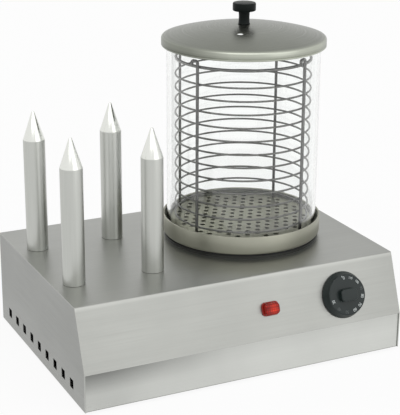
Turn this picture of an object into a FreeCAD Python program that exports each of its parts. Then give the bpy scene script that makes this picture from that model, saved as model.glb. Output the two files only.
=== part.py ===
import FreeCAD, Part
import Sketcher
import math
import os

# Hot dog toaster: a low stainless housing with four heated bun spikes on the left
# and, on the right, a water pan with a glass cylinder, a wire basket and a lid.
# Millimetres. +Z up, +X to the right, the front faces -Y.
# The origin lies on the ground under the middle of the whole object, with dial and gland.

doc = FreeCAD.newDocument("hot_dog_toaster")
dims = doc.addObject("Spreadsheet::Sheet", "dims")

# Driving dimensions: alias, value, meaning
drivingDimensions = [
    ("bodyWidth", "440", "housing, side to side"),
    ("bodyDepth", "312", "housing, front strip to rear panel"),
    ("bodyHeight", "124", "housing, underside to top"),
    ("stripHeight", "48", "height of the vertical front strip"),
    ("setback", "28", "how far the slope leans back"),
    ("housingY", "-5.14", "middle of the housing, in front of the origin"),
    ("sheetThickness", "1.2", "stainless sheet of the housing"),
    ("bendRadius", "2.2", "outer radius of the sheet's bends"),
    ("stripInset", "1.5", "how far the strip lies behind the slope's lower edge"),
    ("returnDepth", "14", "fold under the slope"),
    ("foldGap", "0.8", "gap between the strip and the fold above it"),
    ("sheetGap", "0.2", "gap between neighbouring sheets"),
    ("flangeWidth", "10", "inward flanges of the side panels"),
    ("ventCount", "9", "vents in each side panel"),
    ("ventPitch", "29.2", "vent to vent"),
    ("ventWidth", "11.5", "vent, along the housing"),
    ("ventHeight", "12", "vent, upright"),
    ("ventLevel", "19.5", "middle of the vents above the housing's underside"),
    ("ventShift", "5", "middle of the row of vents behind the housing's middle"),
    ("footHeight", "4", "visible height of a foot"),
    ("footRadius", "10", "foot"),
    ("footInset", "24", "foot's axis from the housing's sides"),
    ("screwRadius", "2", "M4 screws"),
    ("screwClearance", "0.3", "radial gap of a screw in its hole"),
    ("screwHeadRadius", "3.6", "pan heads of the M4 screws"),
    ("screwHeadHeight", "2", "pan heads of the M4 screws"),
    ("nutFlats", "7", "M4 nuts across the flats"),
    ("nutHeight", "3.2", "M4 nuts"),
    ("threadClearance", "0.04", "radial gap between a thread and its nut"),
    ("spikeRadius", "14", "bun spike"),
    ("spikeShoulder", "148", "straight part of a spike"),
    ("spikeHeight", "185", "spike with its tip"),
    ("spikeTipRadius", "1.6", "blunt end of the tip"),
    ("spikeSide", "27.5", "left column of spikes, from the housing's left side"),
    ("spikePitchX", "105", "column to column"),
    ("spikeRear", "77", "rear row of spikes, from the housing's rear"),
    ("spikePitchY", "134", "row to row"),
    ("neckRadius", "8", "threaded neck under a spike"),
    ("neckLength", "18", "threaded neck under a spike"),
    ("neckClearance", "0.5", "radial gap of the neck in the housing's hole"),
    ("spikeWasherRadius", "15", "insulating washer under the top"),
    ("spikeWasherThickness", "2", "insulating washer under the top"),
    ("spikeNutFlats", "24", "nut on the neck, across the flats"),
    ("spikeNutHeight", "7", "nut on the neck"),
    ("heaterRadius", "5", "cartridge heater in a spike"),
    ("heaterLength", "136", "cartridge heater"),
    ("heaterClearance", "0.05", "radial gap of the cartridge in its bore"),
    ("heaterTail", "4", "how far the cartridge stands out of the neck"),
    ("panSide", "142.5", "axis of the pan and the glass, from the housing's right side"),
    ("panY", "23", "axis of the pan and the glass, behind the housing's middle"),
    ("panRadius", "105.5", "outside of the pan's wall"),
    ("panTop", "30", "pan's rim above the housing"),
    ("panWall", "1.2", "sheet of the pan"),
    ("panCorner", "4", "rounded lower edge of the pan's wall"),
    ("rimWidth", "2.6", "rolled rim of the pan"),
    ("rimHeight", "3", "rolled rim of the pan"),
    ("wellRadius", "92", "water well inside the ledge"),
    ("wellDepth", "26", "well below the housing's top"),
    ("wellDraft", "4", "how much narrower the well's floor is"),
    ("wellClearance", "2", "radial gap of the well in the housing's hole"),
    ("gasketThickness", "1.5", "gasket under the pan"),
    ("seatRingHeight", "3.5", "stainless ring under the gasket"),
    ("seatRingRadius", "103.5", "outside of the ring and the gasket"),
    ("panStudCircle", "99", "radius of the circle of the pan's studs"),
    ("panStudLength", "12", "studs below the ring's underside"),
    ("glassRadius", "100", "outside of the glass"),
    ("glassWall", "4", "glass"),
    ("glassHeight", "260", "glass"),
    ("restGap", "0.3", "gap where a loose piece stands on another"),
    ("plateRadius", "94.5", "perforated plate"),
    ("plateTop", "24", "plate's surface above the housing"),
    ("plateSheet", "1.2", "perforated plate and its rim"),
    ("holeRadius", "3.4", "holes of the plate"),
    ("holePitch", "14", "hole to hole in a row"),
    ("holeRowPitch", "12", "row to row"),
    ("holeMargin", "9", "plain edge of the plate"),
    ("ringRadius", "88.5", "middle of the basket's wire rings"),
    ("ringWire", "1.25", "radius of the rings' wire"),
    ("topRingWire", "2", "radius of the top ring's wire"),
    ("ringTop", "221", "uppermost thin ring above the housing"),
    ("ringPitch", "17.25", "ring to ring"),
    ("ringCount", "12", "thin rings"),
    ("topRingLevel", "243", "top ring above the housing"),
    ("postWire", "2", "radius of the posts' wire"),
    ("hookRise", "8", "hooks at the posts' tops, above the top ring"),
    ("hookReach", "9", "hooks, along the ring"),
    ("hookDrop", "6", "hooks, downwards"),
    ("hookBend", "3", "bends of the hooks"),
    ("lidRadius", "107", "lid"),
    ("lidSheet", "1.2", "lid"),
    ("lidLevel", "258", "lower edge of the lid above the housing"),
    ("lidSkirt", "11", "height of the lid's rim"),
    ("lidDome", "15.5", "rise of the lid's dome"),
    ("lidBead", "1.4", "bead along the lid's lower edge, wider than the sheet"),
    ("lidBeadHeight", "3", "bead along the lid's lower edge"),
    ("lidVentRadius", "4.3", "steam hole in the lid"),
    ("lidVentAcross", "26.7", "steam hole from the lid's axis, to the left"),
    ("lidVentForward", "41", "steam hole from the lid's axis, to the front"),
    ("locatingRadius", "95.2", "outside of the ring under the lid"),
    ("locatingDepth", "10", "how far that ring reaches into the glass"),
    ("weldGap", "0.1", "gap between wires or sheets that are spot-welded"),
    ("knobStemRadius", "7.2", "stem of the lid's knob"),
    ("knobStemHeight", "17.2", "stem of the lid's knob"),
    ("knobCapRadius", "15", "cap of the lid's knob"),
    ("knobCapHeight", "10.8", "cap of the lid's knob"),
    ("knobScrewRadius", "2.5", "M5 screw of the knob"),
    ("knobScrewDepth", "16", "how far the screw goes into the knob"),
    ("knobScrewHeadRadius", "4.4", "head of that screw"),
    ("knobScrewHeadHeight", "3", "head of that screw"),
    ("knobWasherRadius", "8", "washer under the lid"),
    ("knobWasherThickness", "1", "washer under the lid"),
    ("controlLevel", "37.5", "dial and lamp, up the slope from its lower edge"),
    ("dialSide", "81", "dial's axis from the housing's right side"),
    ("dialRadius", "30", "dial's skirt"),
    ("dialFaceRadius", "25.5", "dial's flat face"),
    ("dialFaceHeight", "12.05", "dial's face above the slope"),
    ("dialEdge", "1.6", "upright edge of the dial"),
    ("dialGap", "0.6", "gap between the dial and the slope"),
    ("dialRecessRadius", "21", "hollow under the dial"),
    ("dialRecessDepth", "7", "hollow under the dial"),
    ("gripLength", "24", "raised grip of the dial"),
    ("gripWidth", "16", "raised grip of the dial"),
    ("gripHeight", "6.75", "grip above the dial's face"),
    ("shaftRadius", "3", "thermostat shaft"),
    ("shaftClearance", "0.05", "radial running gap of the shaft"),
    ("shaftReach", "15", "shaft in front of the slope"),
    ("thermostatWidth", "42", "thermostat body"),
    ("thermostatHeight", "34", "thermostat body"),
    ("thermostatDepth", "28", "thermostat body behind the sheet"),
    ("bushingRadius", "4.8", "bushing round the shaft"),
    ("bushingClearance", "0.4", "radial gap of the bushing in the slope's hole"),
    ("thermostatScrewX", "14", "thermostat screws from the shaft"),
    ("lampPitch", "106", "pilot lamp, to the left of the dial"),
    ("lensWidth", "19.5", "lens, side to side"),
    ("lensRise", "13.4", "lens, up the slope"),
    ("lensHeight", "9", "lens above the slope"),
    ("lensCorner", "4", "lens's corner radius"),
    ("bezelBorder", "2", "frame round the lens"),
    ("bezelHeight", "2.2", "frame above the slope"),
    ("lampGap", "0.3", "gap round the lens and the lamp's body"),
    ("lampBodyWidth", "12.4", "lamp's body"),
    ("lampBodyDepth", "28", "lamp's body behind the slope"),
    ("clipWidth", "20", "spring clip behind the slope"),
    ("clipThickness", "1.5", "spring clip behind the slope"),
    ("elementRadius", "62", "heating element's ring"),
    ("elementTube", "4", "radius of the element's tube"),
    ("elementAngle", "320", "how far the element goes round"),
    ("elementLeg", "16", "element's legs down from its ring"),
    ("clampPlateRadius", "72", "plate under the element"),
    ("clampPlateThickness", "1.5", "plate under the element"),
    ("clampStudRadius", "3", "stud in the middle of the pan"),
    ("clampStudLength", "22", "stud in the middle of the pan"),
    ("clampNutFlats", "10", "nut on that stud"),
    ("clampNutHeight", "5", "nut on that stud"),
    ("bulbRadius", "3", "thermostat's sensing bulb"),
    ("bulbLength", "62", "thermostat's sensing bulb"),
    ("bulbForward", "30", "bulb from the pan's axis, to the front"),
    ("bulbClipLength", "14", "clip that holds the bulb"),
    ("bulbClipWidth", "10", "clip that holds the bulb"),
    ("limiterRadius", "11", "safety limiter"),
    ("limiterHeight", "12", "safety limiter"),
    ("limiterOffset", "38", "limiter from the pan's axis, to the rear"),
    ("capillaryRadius", "0.9", "capillary tube"),
    ("capillaryBend", "12", "bends of the capillary"),
    ("capillaryLoop", "17", "how far the capillary swings out beside the dial"),
    ("terminalSide", "70", "terminal block, from the housing's right side"),
    ("terminalRear", "28", "terminal block, from the housing's rear"),
    ("terminalLength", "62", "terminal block"),
    ("terminalWidth", "22", "terminal block"),
    ("terminalHeight", "18", "terminal block"),
    ("glandSide", "35", "cable gland, from the housing's right side"),
    ("glandLevel", "34", "cable gland above the housing's underside"),
    ("glandThread", "9.8", "radius of the gland's thread"),
    ("glandReach", "9", "gland's thread behind the rear sheet"),
    ("glandBore", "6.2", "bore of the gland's body"),
    ("glandFlats", "24", "gland across the flats"),
    ("glandFlange", "6", "hexagon of the gland"),
    ("glandCap", "11", "length of the gland's cap"),
    ("sealBore", "4", "radius of the hole for a cable"),
]

for row, (alias, value, meaning) in enumerate(drivingDimensions, start=1):
    dims.set("A%d" % row, meaning)
    dims.set("B%d" % row, value)
    dims.setAlias("B%d" % row, alias)
doc.recompute()


class Size:
    """A number together with the expression that gives it from the sheet."""

    def __init__(self, value, text):
        self.value = value
        self.text = text

    def __add__(self, other):
        other = asSize(other)
        return Size(self.value + other.value, "(%s + %s)" % (self.text, other.text))

    def __radd__(self, other):
        return asSize(other) + self

    def __sub__(self, other):
        other = asSize(other)
        return Size(self.value - other.value, "(%s - %s)" % (self.text, other.text))

    def __rsub__(self, other):
        return asSize(other) - self

    def __mul__(self, other):
        other = asSize(other)
        return Size(self.value * other.value, "(%s * %s)" % (self.text, other.text))

    def __rmul__(self, other):
        return asSize(other) * self

    def __truediv__(self, other):
        other = asSize(other)
        return Size(self.value / other.value, "(%s / %s)" % (self.text, other.text))

    def __rtruediv__(self, other):
        return asSize(other) / self

    def __neg__(self):
        return Size(-self.value, "(0 - %s)" % self.text)


def asSize(number):
    if isinstance(number, Size):
        return number
    return Size(float(number), repr(float(number)))


def root(size):
    return Size(math.sqrt(size.value), "sqrt(%s)" % size.text)


class Dimensions:
    """Reads each driving dimension from the sheet by its alias."""

    def __getattr__(self, alias):
        return Size(float(dims.get(alias)), "dims." + alias)


d = Dimensions()

# Levels and directions that several pieces share
halfWidth = d.bodyWidth / 2
halfDepth = d.bodyDepth / 2
base = d.footHeight
top = d.footHeight + d.bodyHeight
slopeRise = d.bodyHeight - d.stripHeight
slopeLength = root(d.setback * d.setback + slopeRise * slopeRise)
slopeSine = d.setback / slopeLength
slopeCosine = slopeRise / slopeLength
slopeAngle = math.degrees(math.atan2(d.setback.value, slopeRise.value))
slopeTilt = 90 - slopeAngle
innerBendY = d.sheetThickness * (1 + slopeSine) / slopeCosine - halfDepth
innerTopY = d.setback + d.sheetThickness * (1 - slopeSine) / slopeCosine - halfDepth
innerFootY = d.sheetThickness / slopeCosine - halfDepth
innerTop = d.bodyHeight - d.sheetThickness
spikeColumns = [("left", d.spikeSide - halfWidth), ("right", d.spikeSide + d.spikePitchX - halfWidth)]
spikeRows = [("rear", halfDepth - d.spikeRear), ("front", halfDepth - d.spikeRear - d.spikePitchY)]
panX = halfWidth - d.panSide
dialX = halfWidth - d.dialSide
lampX = dialX - d.lampPitch
terminalX = halfWidth - d.terminalSide
terminalY = halfDepth - d.terminalRear
glandX = halfWidth - d.glandSide
bulbY = d.panY - d.bulbForward
ledge = d.seatRingHeight + d.gasketThickness
panHoleRadius = d.wellRadius + d.wellClearance
controlY = d.controlLevel * slopeSine - halfDepth
controlZ = d.footHeight + d.stripHeight + d.controlLevel * slopeCosine
screwHoleRadius = d.screwRadius + d.screwClearance
footPlaces = [
    ("front_left", d.footInset - halfWidth, d.footInset - halfDepth),
    ("front_right", halfWidth - d.footInset, d.footInset - halfDepth),
    ("rear_left", d.footInset - halfWidth, halfDepth - d.footInset),
    ("rear_right", halfWidth - d.footInset, halfDepth - d.footInset),
]

subParts = []


def bind(thing, path, size):
    """Sets a property from the sheet, or to a plain number."""
    size = asSize(size)
    thing.setExpression(path, size.text)


def place(thing, x=0, y=0, z=0, axis=None, angle=0):
    """Puts an object at x, y, z from the housing's middle, turned by a fixed angle."""
    if axis is not None:
        turn = FreeCAD.Rotation(FreeCAD.Vector(*axis), angle)
        thing.Placement = FreeCAD.Placement(FreeCAD.Vector(), turn)
    for name, size in (("x", x), ("y", d.housingY + y), ("z", z)):
        bind(thing, "Placement.Base." + name, size)
    return thing


def onSlope(thing, x, depth=0):
    """Stands an object square on the slope at x, its foot at a depth below the surface."""
    y = controlY + depth * slopeCosine
    z = controlZ - depth * slopeSine
    place(thing, x, y, z, (1, 0, 0), slopeTilt)
    return thing


def keep(thing, label):
    """Marks an object as one sub-part under its own name."""
    thing.Label = label
    subParts.append(thing)
    return thing


def newBody(label):
    return keep(doc.addObject("PartDesign::Body", label), label)


def originPlane(body, role):
    for feature in body.Origin.OriginFeatures:
        if feature.Role == role:
            return feature


def newSketch(body, name, role):
    sketch = body.newObject("Sketcher::SketchObject", name)
    sketch.AttachmentSupport = (originPlane(body, role), [""])
    sketch.MapMode = "FlatFace"
    return sketch


def pin(sketch, geometry, point, x, y):
    """Fixes a point of the sketch at x, y from the origin."""
    for kind, axis, size in (("DistanceX", -2, asSize(x)), ("DistanceY", -1, asSize(y))):
        if size.text == "0.0":
            sketch.addConstraint(Sketcher.Constraint("PointOnObject", geometry, point, axis))
        else:
            rule = Sketcher.Constraint(kind, -1, 1, geometry, point, size.value)
            index = sketch.addConstraint(rule)
            sketch.setExpression("Constraints[%d]" % index, size.text)


def outline(body, name, role, points):
    """A closed outline through the points. A third item "dome" makes the edge that
    starts there an arc about a centre on the upright axis."""
    sketch = newSketch(body, name, role)
    count = len(points)
    ends = []
    for i in range(count):
        x1, y1 = asSize(points[i][0]).value, asSize(points[i][1]).value
        x2, y2 = asSize(points[(i + 1) % count][0]).value, asSize(points[(i + 1) % count][1]).value
        if len(points[i]) == 3:
            middle = (x1 * x1 + y1 * y1 - x2 * x2 - y2 * y2) / (2 * (y1 - y2))
            radius = math.hypot(x1, y1 - middle)
            circle = Part.Circle(FreeCAD.Vector(0, middle, 0), FreeCAD.Vector(0, 0, 1), radius)
            first, second = math.atan2(y1 - middle, x1), math.atan2(y2 - middle, x2)
            arc = Part.ArcOfCircle(circle, min(first, second), max(first, second))
            index = sketch.addGeometry(arc, False)
            sketch.addConstraint(Sketcher.Constraint("PointOnObject", index, 3, -2))
            ends.append((index, 1, 2) if first < second else (index, 2, 1))
        else:
            line = Part.LineSegment(FreeCAD.Vector(x1, y1, 0), FreeCAD.Vector(x2, y2, 0))
            ends.append((sketch.addGeometry(line, False), 1, 2))
    for i in range(count):
        here, there = ends[i], ends[(i + 1) % count]
        sketch.addConstraint(Sketcher.Constraint("Coincident", here[0], here[2], there[0], there[1]))
    for i in range(count):
        pin(sketch, ends[i][0], ends[i][1], points[i][0], points[i][1])
    return sketch


def circles(body, name, role, places, radius):
    """Circles of one radius at the places given."""
    sketch = newSketch(body, name, role)
    radius = asSize(radius)
    for x, y in places:
        x, y = asSize(x), asSize(y)
        centre = FreeCAD.Vector(x.value, y.value, 0)
        index = sketch.addGeometry(Part.Circle(centre, FreeCAD.Vector(0, 0, 1), radius.value), False)
        rule = sketch.addConstraint(Sketcher.Constraint("Radius", index, radius.value))
        sketch.setExpression("Constraints[%d]" % rule, radius.text)
        pin(sketch, index, 3, x, y)
    return sketch


def rectangle(x1, y1, x2, y2):
    return [(x1, y1), (x2, y1), (x2, y2), (x1, y2)]


def hexagon(flats):
    """Corners of a hexagon, two of them on the level axis."""
    corner = flats / math.sqrt(3)
    half = flats / 2
    return [(corner, 0), (corner / 2, half), (-corner / 2, half),
            (-corner, 0), (-corner / 2, -half), (corner / 2, -half)]


def revolve(body, sketch, name="turn"):
    feature = body.newObject("PartDesign::Revolution", name)
    feature.Profile = sketch
    feature.ReferenceAxis = (sketch, ["V_Axis"])
    feature.Angle = 360
    doc.recompute()
    return feature


def pad(body, sketch, length, name="pad", both=False, back=False):
    feature = body.newObject("PartDesign::Pad", name)
    feature.Profile = sketch
    bind(feature, "Length", length)
    feature.SideType = "Symmetric" if both else "One side"
    feature.Reversed = back
    doc.recompute()
    return feature


def cutThrough(body, sketch, back=False, both=False, length=None, name="hole"):
    """Cuts the sketch out of the body and makes sure that something was cut."""
    before = body.Shape.Volume
    feature = body.newObject("PartDesign::Pocket", name)
    feature.Profile = sketch
    if length is None:
        feature.Type = "ThroughAll"
    else:
        feature.Type = "Length"
        bind(feature, "Length", length)
    feature.SideType = "Symmetric" if both else "One side"
    feature.Reversed = back
    doc.recompute()
    if body.Shape.Volume >= before:
        raise RuntimeError("nothing was cut by %s in %s" % (name, body.Label))
    return feature


def roundEdges(body, chosen, radius, name="rounding"):
    """Rounds the edges of the body's shape for which chosen(edge) is true."""
    base = body.Tip
    names = ["Edge%d" % (i + 1) for i, edge in enumerate(base.Shape.Edges) if chosen(edge)]
    feature = body.newObject("PartDesign::Fillet", name)
    feature.Base = (base, names)
    bind(feature, "Radius", radius)
    doc.recompute()
    return feature


def isCircle(edge, radius=None, level=None):
    """True for a round edge, of this radius and at this level where they are given."""
    if edge.Degenerated or not isinstance(edge.Curve, Part.Circle):
        return False
    if radius is not None and abs(edge.Curve.Radius - asSize(radius).value) > 0.01:
        return False
    return level is None or abs(edge.Curve.Center.z - asSize(level).value) < 0.01


def isUpright(edge):
    first, last = edge.Vertexes[0].Point, edge.Vertexes[-1].Point
    return abs(first.x - last.x) + abs(first.y - last.y) < 0.001 < abs(first.z - last.z)


def cylinder(name, radius, height, x=0, y=0, z=0):
    thing = doc.addObject("Part::Cylinder", name)
    bind(thing, "Radius", radius)
    bind(thing, "Height", height)
    return place(thing, x, y, z)


def prism(name, flats, height, x=0, y=0, z=0):
    thing = doc.addObject("Part::Prism", name)
    thing.Polygon = 6
    bind(thing, "Circumradius", flats / math.sqrt(3))
    bind(thing, "Height", height)
    return place(thing, x, y, z)


def box(name, length, width, height, x, y, z):
    """A box whose x and y give its middle and whose z gives its underside."""
    thing = doc.addObject("Part::Box", name)
    bind(thing, "Length", length)
    bind(thing, "Width", width)
    bind(thing, "Height", height)
    return place(thing, x - asSize(length) / 2, y - asSize(width) / 2, z)


def fused(name, things):
    thing = doc.addObject("Part::MultiFuse", name)
    thing.Shapes = things
    return thing


def less(name, whole, tool):
    thing = doc.addObject("Part::Cut", name)
    thing.Base = whole
    thing.Tool = tool
    return thing


def group(label, things):
    """Several alike solids under one name."""
    thing = doc.addObject("Part::Compound", label)
    thing.Links = things
    return keep(thing, label)


def nut(name, flats, height, bore, x, y, z):
    """A hexagon nut with a plain bore."""
    return less(name, prism(name + "_hexagon", flats, height, x, y, z),
                cylinder(name + "_bore", bore, height, x, y, z))


def screw(name, x, y, headZ, length, headUp):
    """A pan head with its shank, the head's flat side at headZ."""
    if headUp:
        head = cylinder(name + "_head", d.screwHeadRadius, d.screwHeadHeight, x, y, headZ)
        shank = cylinder(name + "_shank", d.screwRadius, length + 1, x, y, headZ - length)
    else:
        head = cylinder(name + "_head", d.screwHeadRadius, d.screwHeadHeight, x, y,
                        headZ - d.screwHeadHeight)
        shank = cylinder(name + "_shank", d.screwRadius, length + 1, x, y, headZ - 1)
    return fused(name, [head, shank])


# Housing cover: top, slope and the fold under the slope

def makeCover():
    body = newBody("housing_cover")
    place(body, 0, 0, base)
    # The upright section through top and slope
    profile = [
        (halfDepth, d.bodyHeight),
        (d.setback - halfDepth, d.bodyHeight),
        (-halfDepth, d.stripHeight),
        (innerFootY, d.stripHeight),
        (innerTopY, innerTop),
        (halfDepth, innerTop),
    ]
    pad(body, outline(body, "section", "YZ_Plane", profile), d.bodyWidth, "top_and_slope", both=True)
    fold = rectangle(innerFootY - d.sheetThickness / 2, d.stripHeight,
                     d.returnDepth - halfDepth, d.stripHeight + d.sheetThickness)
    foldWidth = d.bodyWidth - 2 * (d.sheetThickness + d.sheetGap)
    pad(body, outline(body, "fold_section", "YZ_Plane", fold), foldWidth, "fold", both=True)
    bendY = d.setback - halfDepth

    def outerBend(edge):
        point = edge.CenterOfMass
        return abs(point.y - bendY.value) < 0.01 and abs(point.z - d.bodyHeight.value) < 0.01 \
            and edge.Length > d.bodyWidth.value / 2

    roundEdges(body, outerBend, d.bendRadius, "outer_bend")

    def innerBend(edge):
        point = edge.CenterOfMass
        return abs(point.y - innerTopY.value) < 0.01 and abs(point.z - innerTop.value) < 0.01 \
            and edge.Length > d.bodyWidth.value / 2

    roundEdges(body, innerBend, d.bendRadius - d.sheetThickness, "inner_bend")
    necks = [(x, y) for _, x in spikeColumns for _, y in spikeRows]
    cutThrough(body, circles(body, "neck_circles", "XY_Plane", necks, d.neckRadius + d.neckClearance),
               back=True, name="neck_holes")
    cutThrough(body, circles(body, "pan_circle", "XY_Plane", [(panX, d.panY)], panHoleRadius),
               back=True, name="pan_hole")
    cutThrough(body, circles(body, "stud_circles", "XY_Plane", panStuds(), screwHoleRadius),
               back=True, name="stud_holes")
    tilt(cutterSketch(body, "bushing_circle", circleAt, dialX, d.bushingRadius + d.bushingClearance))
    cutThrough(body, body.Group[-1], both=True, length=d.sheetThickness * 4, name="bushing_hole")
    for side, name in ((-1, "left"), (1, "right")):
        tilt(cutterSketch(body, "screw_circle_" + name, circleAt,
                          dialX + side * d.thermostatScrewX, screwHoleRadius))
        cutThrough(body, body.Group[-1], both=True, length=d.sheetThickness * 4,
                   name="screw_hole_" + name)
    tilt(cutterSketch(body, "lamp_square", squareAt, lampX, d.lampBodyWidth + 2 * d.lampGap))
    cutThrough(body, body.Group[-1], both=True, length=d.sheetThickness * 4, name="lamp_hole")


def panStuds():
    """Four studs of the pan, on the diagonals."""
    reach = d.panStudCircle / math.sqrt(2)
    return [(panX + i * reach, d.panY + j * reach) for i in (-1, 1) for j in (-1, 1)]


def circleAt(body, name, x, radius):
    return circles(body, name, "XZ_Plane", [(x, 0)], radius)


def squareAt(body, name, x, width):
    half = width / 2
    return outline(body, name, "XZ_Plane", rectangle(x - half, -half, x + half, half))


def cutterSketch(body, name, maker, x, extent):
    return maker(body, name, x, extent)


def tilt(sketch):
    """Lays a sketch of the upright plane on the slope, its origin at the controls' level."""
    turn = FreeCAD.Rotation(FreeCAD.Vector(1, 0, 0), -slopeAngle)
    sketch.AttachmentOffset = FreeCAD.Placement(FreeCAD.Vector(), turn)
    bind(sketch, "AttachmentOffset.Base.y", controlZ - base)
    bind(sketch, "AttachmentOffset.Base.z", -controlY)
    return sketch


# Side panels with their inward flanges and vents

def makeSidePanel(side, label):
    body = newBody(label)
    outer = halfWidth * side
    place(body, 0, 0, base)
    cut = d.bendRadius - d.sheetThickness
    profile = [
        (halfDepth, 0),
        (halfDepth, innerTop),
        (innerTopY + cut, innerTop),
        (innerTopY - cut * slopeSine, innerTop - cut * slopeCosine),
        (innerFootY, d.stripHeight),
        (-halfDepth, d.stripHeight),
        (-halfDepth, 0),
    ]
    sketch = outline(body, "outline", "YZ_Plane", profile)
    bind(sketch, "AttachmentOffset.Base.z", outer)
    pad(body, sketch, d.sheetThickness, "panel", back=side > 0)
    # Flanges along the underside, the top and the rear
    lowFlange = rectangle(d.stripInset + d.sheetThickness + d.sheetGap - halfDepth,
                          d.sheetThickness, halfDepth - d.sheetThickness - d.sheetGap,
                          2 * d.sheetThickness)
    topFlange = rectangle(innerTopY + d.bendRadius + d.sheetThickness,
                          innerTop - d.sheetThickness, halfDepth - d.sheetThickness - d.sheetGap,
                          innerTop)
    rearFlange = rectangle(halfDepth - 2 * d.sheetThickness - d.sheetGap, d.sheetThickness,
                           halfDepth - d.sheetThickness - d.sheetGap, innerTop)
    for name, flange in (("low", lowFlange), ("top", topFlange), ("rear", rearFlange)):
        sketch = outline(body, name + "_flange_section", "YZ_Plane", flange)
        bind(sketch, "AttachmentOffset.Base.z", outer)
        pad(body, sketch, d.flangeWidth, name + "_flange", back=side > 0)
    cutVents(body, outer)
    x = side * (halfWidth - d.sheetThickness - d.flangeWidth / 2)
    holes = [(x, z) for _, z in rearScrews()[:2]]
    threads = circles(body, "rear_circles", "XZ_Plane", holes, d.screwRadius + d.threadClearance)
    bind(threads, "AttachmentOffset.Base.z", -halfDepth)
    cutThrough(body, threads, both=True, length=6 * d.sheetThickness, name="rear_threads")


def cutVents(body, outer):
    half = d.ventWidth / 2
    firstY = d.ventShift - d.ventPitch * (d.ventCount - 1) / 2
    low = d.ventLevel - d.ventHeight / 2
    high = d.ventLevel + d.ventHeight / 2
    sketch = outline(body, "vent", "YZ_Plane", rectangle(firstY - half, low, firstY + half, high))
    bind(sketch, "AttachmentOffset.Base.z", outer)
    first = cutThrough(body, sketch, both=True, length=3 * d.sheetThickness, name="vent_hole")
    row = body.newObject("PartDesign::LinearPattern", "vent_row")
    row.Originals = [first]
    row.Direction = (sketch, ["H_Axis"])
    row.Mode = "Spacing"
    bind(row, "Offset", d.ventPitch)
    row.Occurrences = int(d.ventCount.value)
    body.Tip = row
    doc.recompute()


# Rear panel, with the hole for the cable gland

def makeRearPanel():
    body = newBody("rear_panel")
    place(body, 0, 0, base)
    half = halfWidth - d.sheetThickness - d.sheetGap
    sketch = outline(body, "outline", "XZ_Plane", rectangle(-half, 0, half, innerTop - d.sheetGap))
    bind(sketch, "AttachmentOffset.Base.z", -halfDepth)
    pad(body, sketch, d.sheetThickness, "panel")
    hole = circles(body, "gland_circle", "XZ_Plane", [(glandX, d.glandLevel)],
                   d.glandThread + d.screwClearance)
    bind(hole, "AttachmentOffset.Base.z", -halfDepth)
    cutThrough(body, hole, both=True, length=4 * d.sheetThickness, name="gland_hole")
    hole = circles(body, "screw_circles", "XZ_Plane", rearScrews(), screwHoleRadius)
    bind(hole, "AttachmentOffset.Base.z", -halfDepth)
    cutThrough(body, hole, both=True, length=4 * d.sheetThickness, name="screw_holes")


def rearScrews():
    """Four screws of the rear panel, in the side panels' rear flanges."""
    x = halfWidth - d.sheetThickness - d.flangeWidth / 2
    low = d.bodyHeight / 4
    high = d.bodyHeight * 3 / 4
    return [(i * x, z) for i in (-1, 1) for z in (low, high)]


# Base tray: the floor and the vertical front strip

def makeBaseTray():
    body = newBody("base_tray")
    place(body, 0, 0, base)
    front = d.stripInset - halfDepth
    rear = halfDepth - d.sheetThickness - d.sheetGap
    section = [
        (front, 0),
        (rear, 0),
        (rear, d.sheetThickness - d.sheetGap / 2),
        (front + d.sheetThickness, d.sheetThickness - d.sheetGap / 2),
        (front + d.sheetThickness, d.stripHeight - d.foldGap),
        (front, d.stripHeight - d.foldGap),
    ]
    width = d.bodyWidth - 2 * (d.sheetThickness + d.sheetGap)
    pad(body, outline(body, "section", "YZ_Plane", section), width, "floor_and_strip", both=True)
    places = [(x, y) for _, x, y in footPlaces]
    cutThrough(body, circles(body, "foot_circles", "XY_Plane", places, screwHoleRadius),
               back=True, length=2 * d.sheetThickness, name="foot_holes")


# Feet with their screws and nuts

def makeFeet():
    recess = d.footHeight - 1.4
    taper = 1
    for place_, x, y in footPlaces:
        body = newBody("foot_" + place_)
        place(body, x, y, 0)
        section = [
            (d.screwHeadRadius + 0.5, 0),
            (d.footRadius - taper, 0),
            (d.footRadius, d.footHeight),
            (screwHoleRadius, d.footHeight),
            (screwHoleRadius, recess),
            (d.screwHeadRadius + 0.5, recess),
        ]
        revolve(body, outline(body, "section", "XZ_Plane", section))
    level = base + d.sheetThickness - d.sheetGap / 2
    length = level - recess + d.nutHeight + 2
    group("foot_screws", [screw("foot_screw_" + name, x, y, recess, length, False)
                          for name, x, y in footPlaces])
    group("foot_nuts", [nut("foot_nut_" + name, d.nutFlats, d.nutHeight,
                            d.screwRadius + d.threadClearance, x, y, level)
                        for name, x, y in footPlaces])


def makeRearScrews():
    """Screws of the rear panel, their heads outside."""
    screws = []
    length = 2 * d.sheetThickness + 5
    for i, (x, z) in enumerate(rearScrews()):
        head = cylinder("rear_head_%d" % i, d.screwHeadRadius, d.screwHeadHeight)
        place(head, x, halfDepth, base + z, (1, 0, 0), -90)
        shank = cylinder("rear_shank_%d" % i, d.screwRadius, length + 1)
        place(shank, x, halfDepth - length, base + z, (1, 0, 0), -90)
        screws.append(fused("rear_screw_%d" % i, [head, shank]))
    group("rear_screws", screws)


# Bun spikes, each with its cartridge heater, washer and nut

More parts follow.
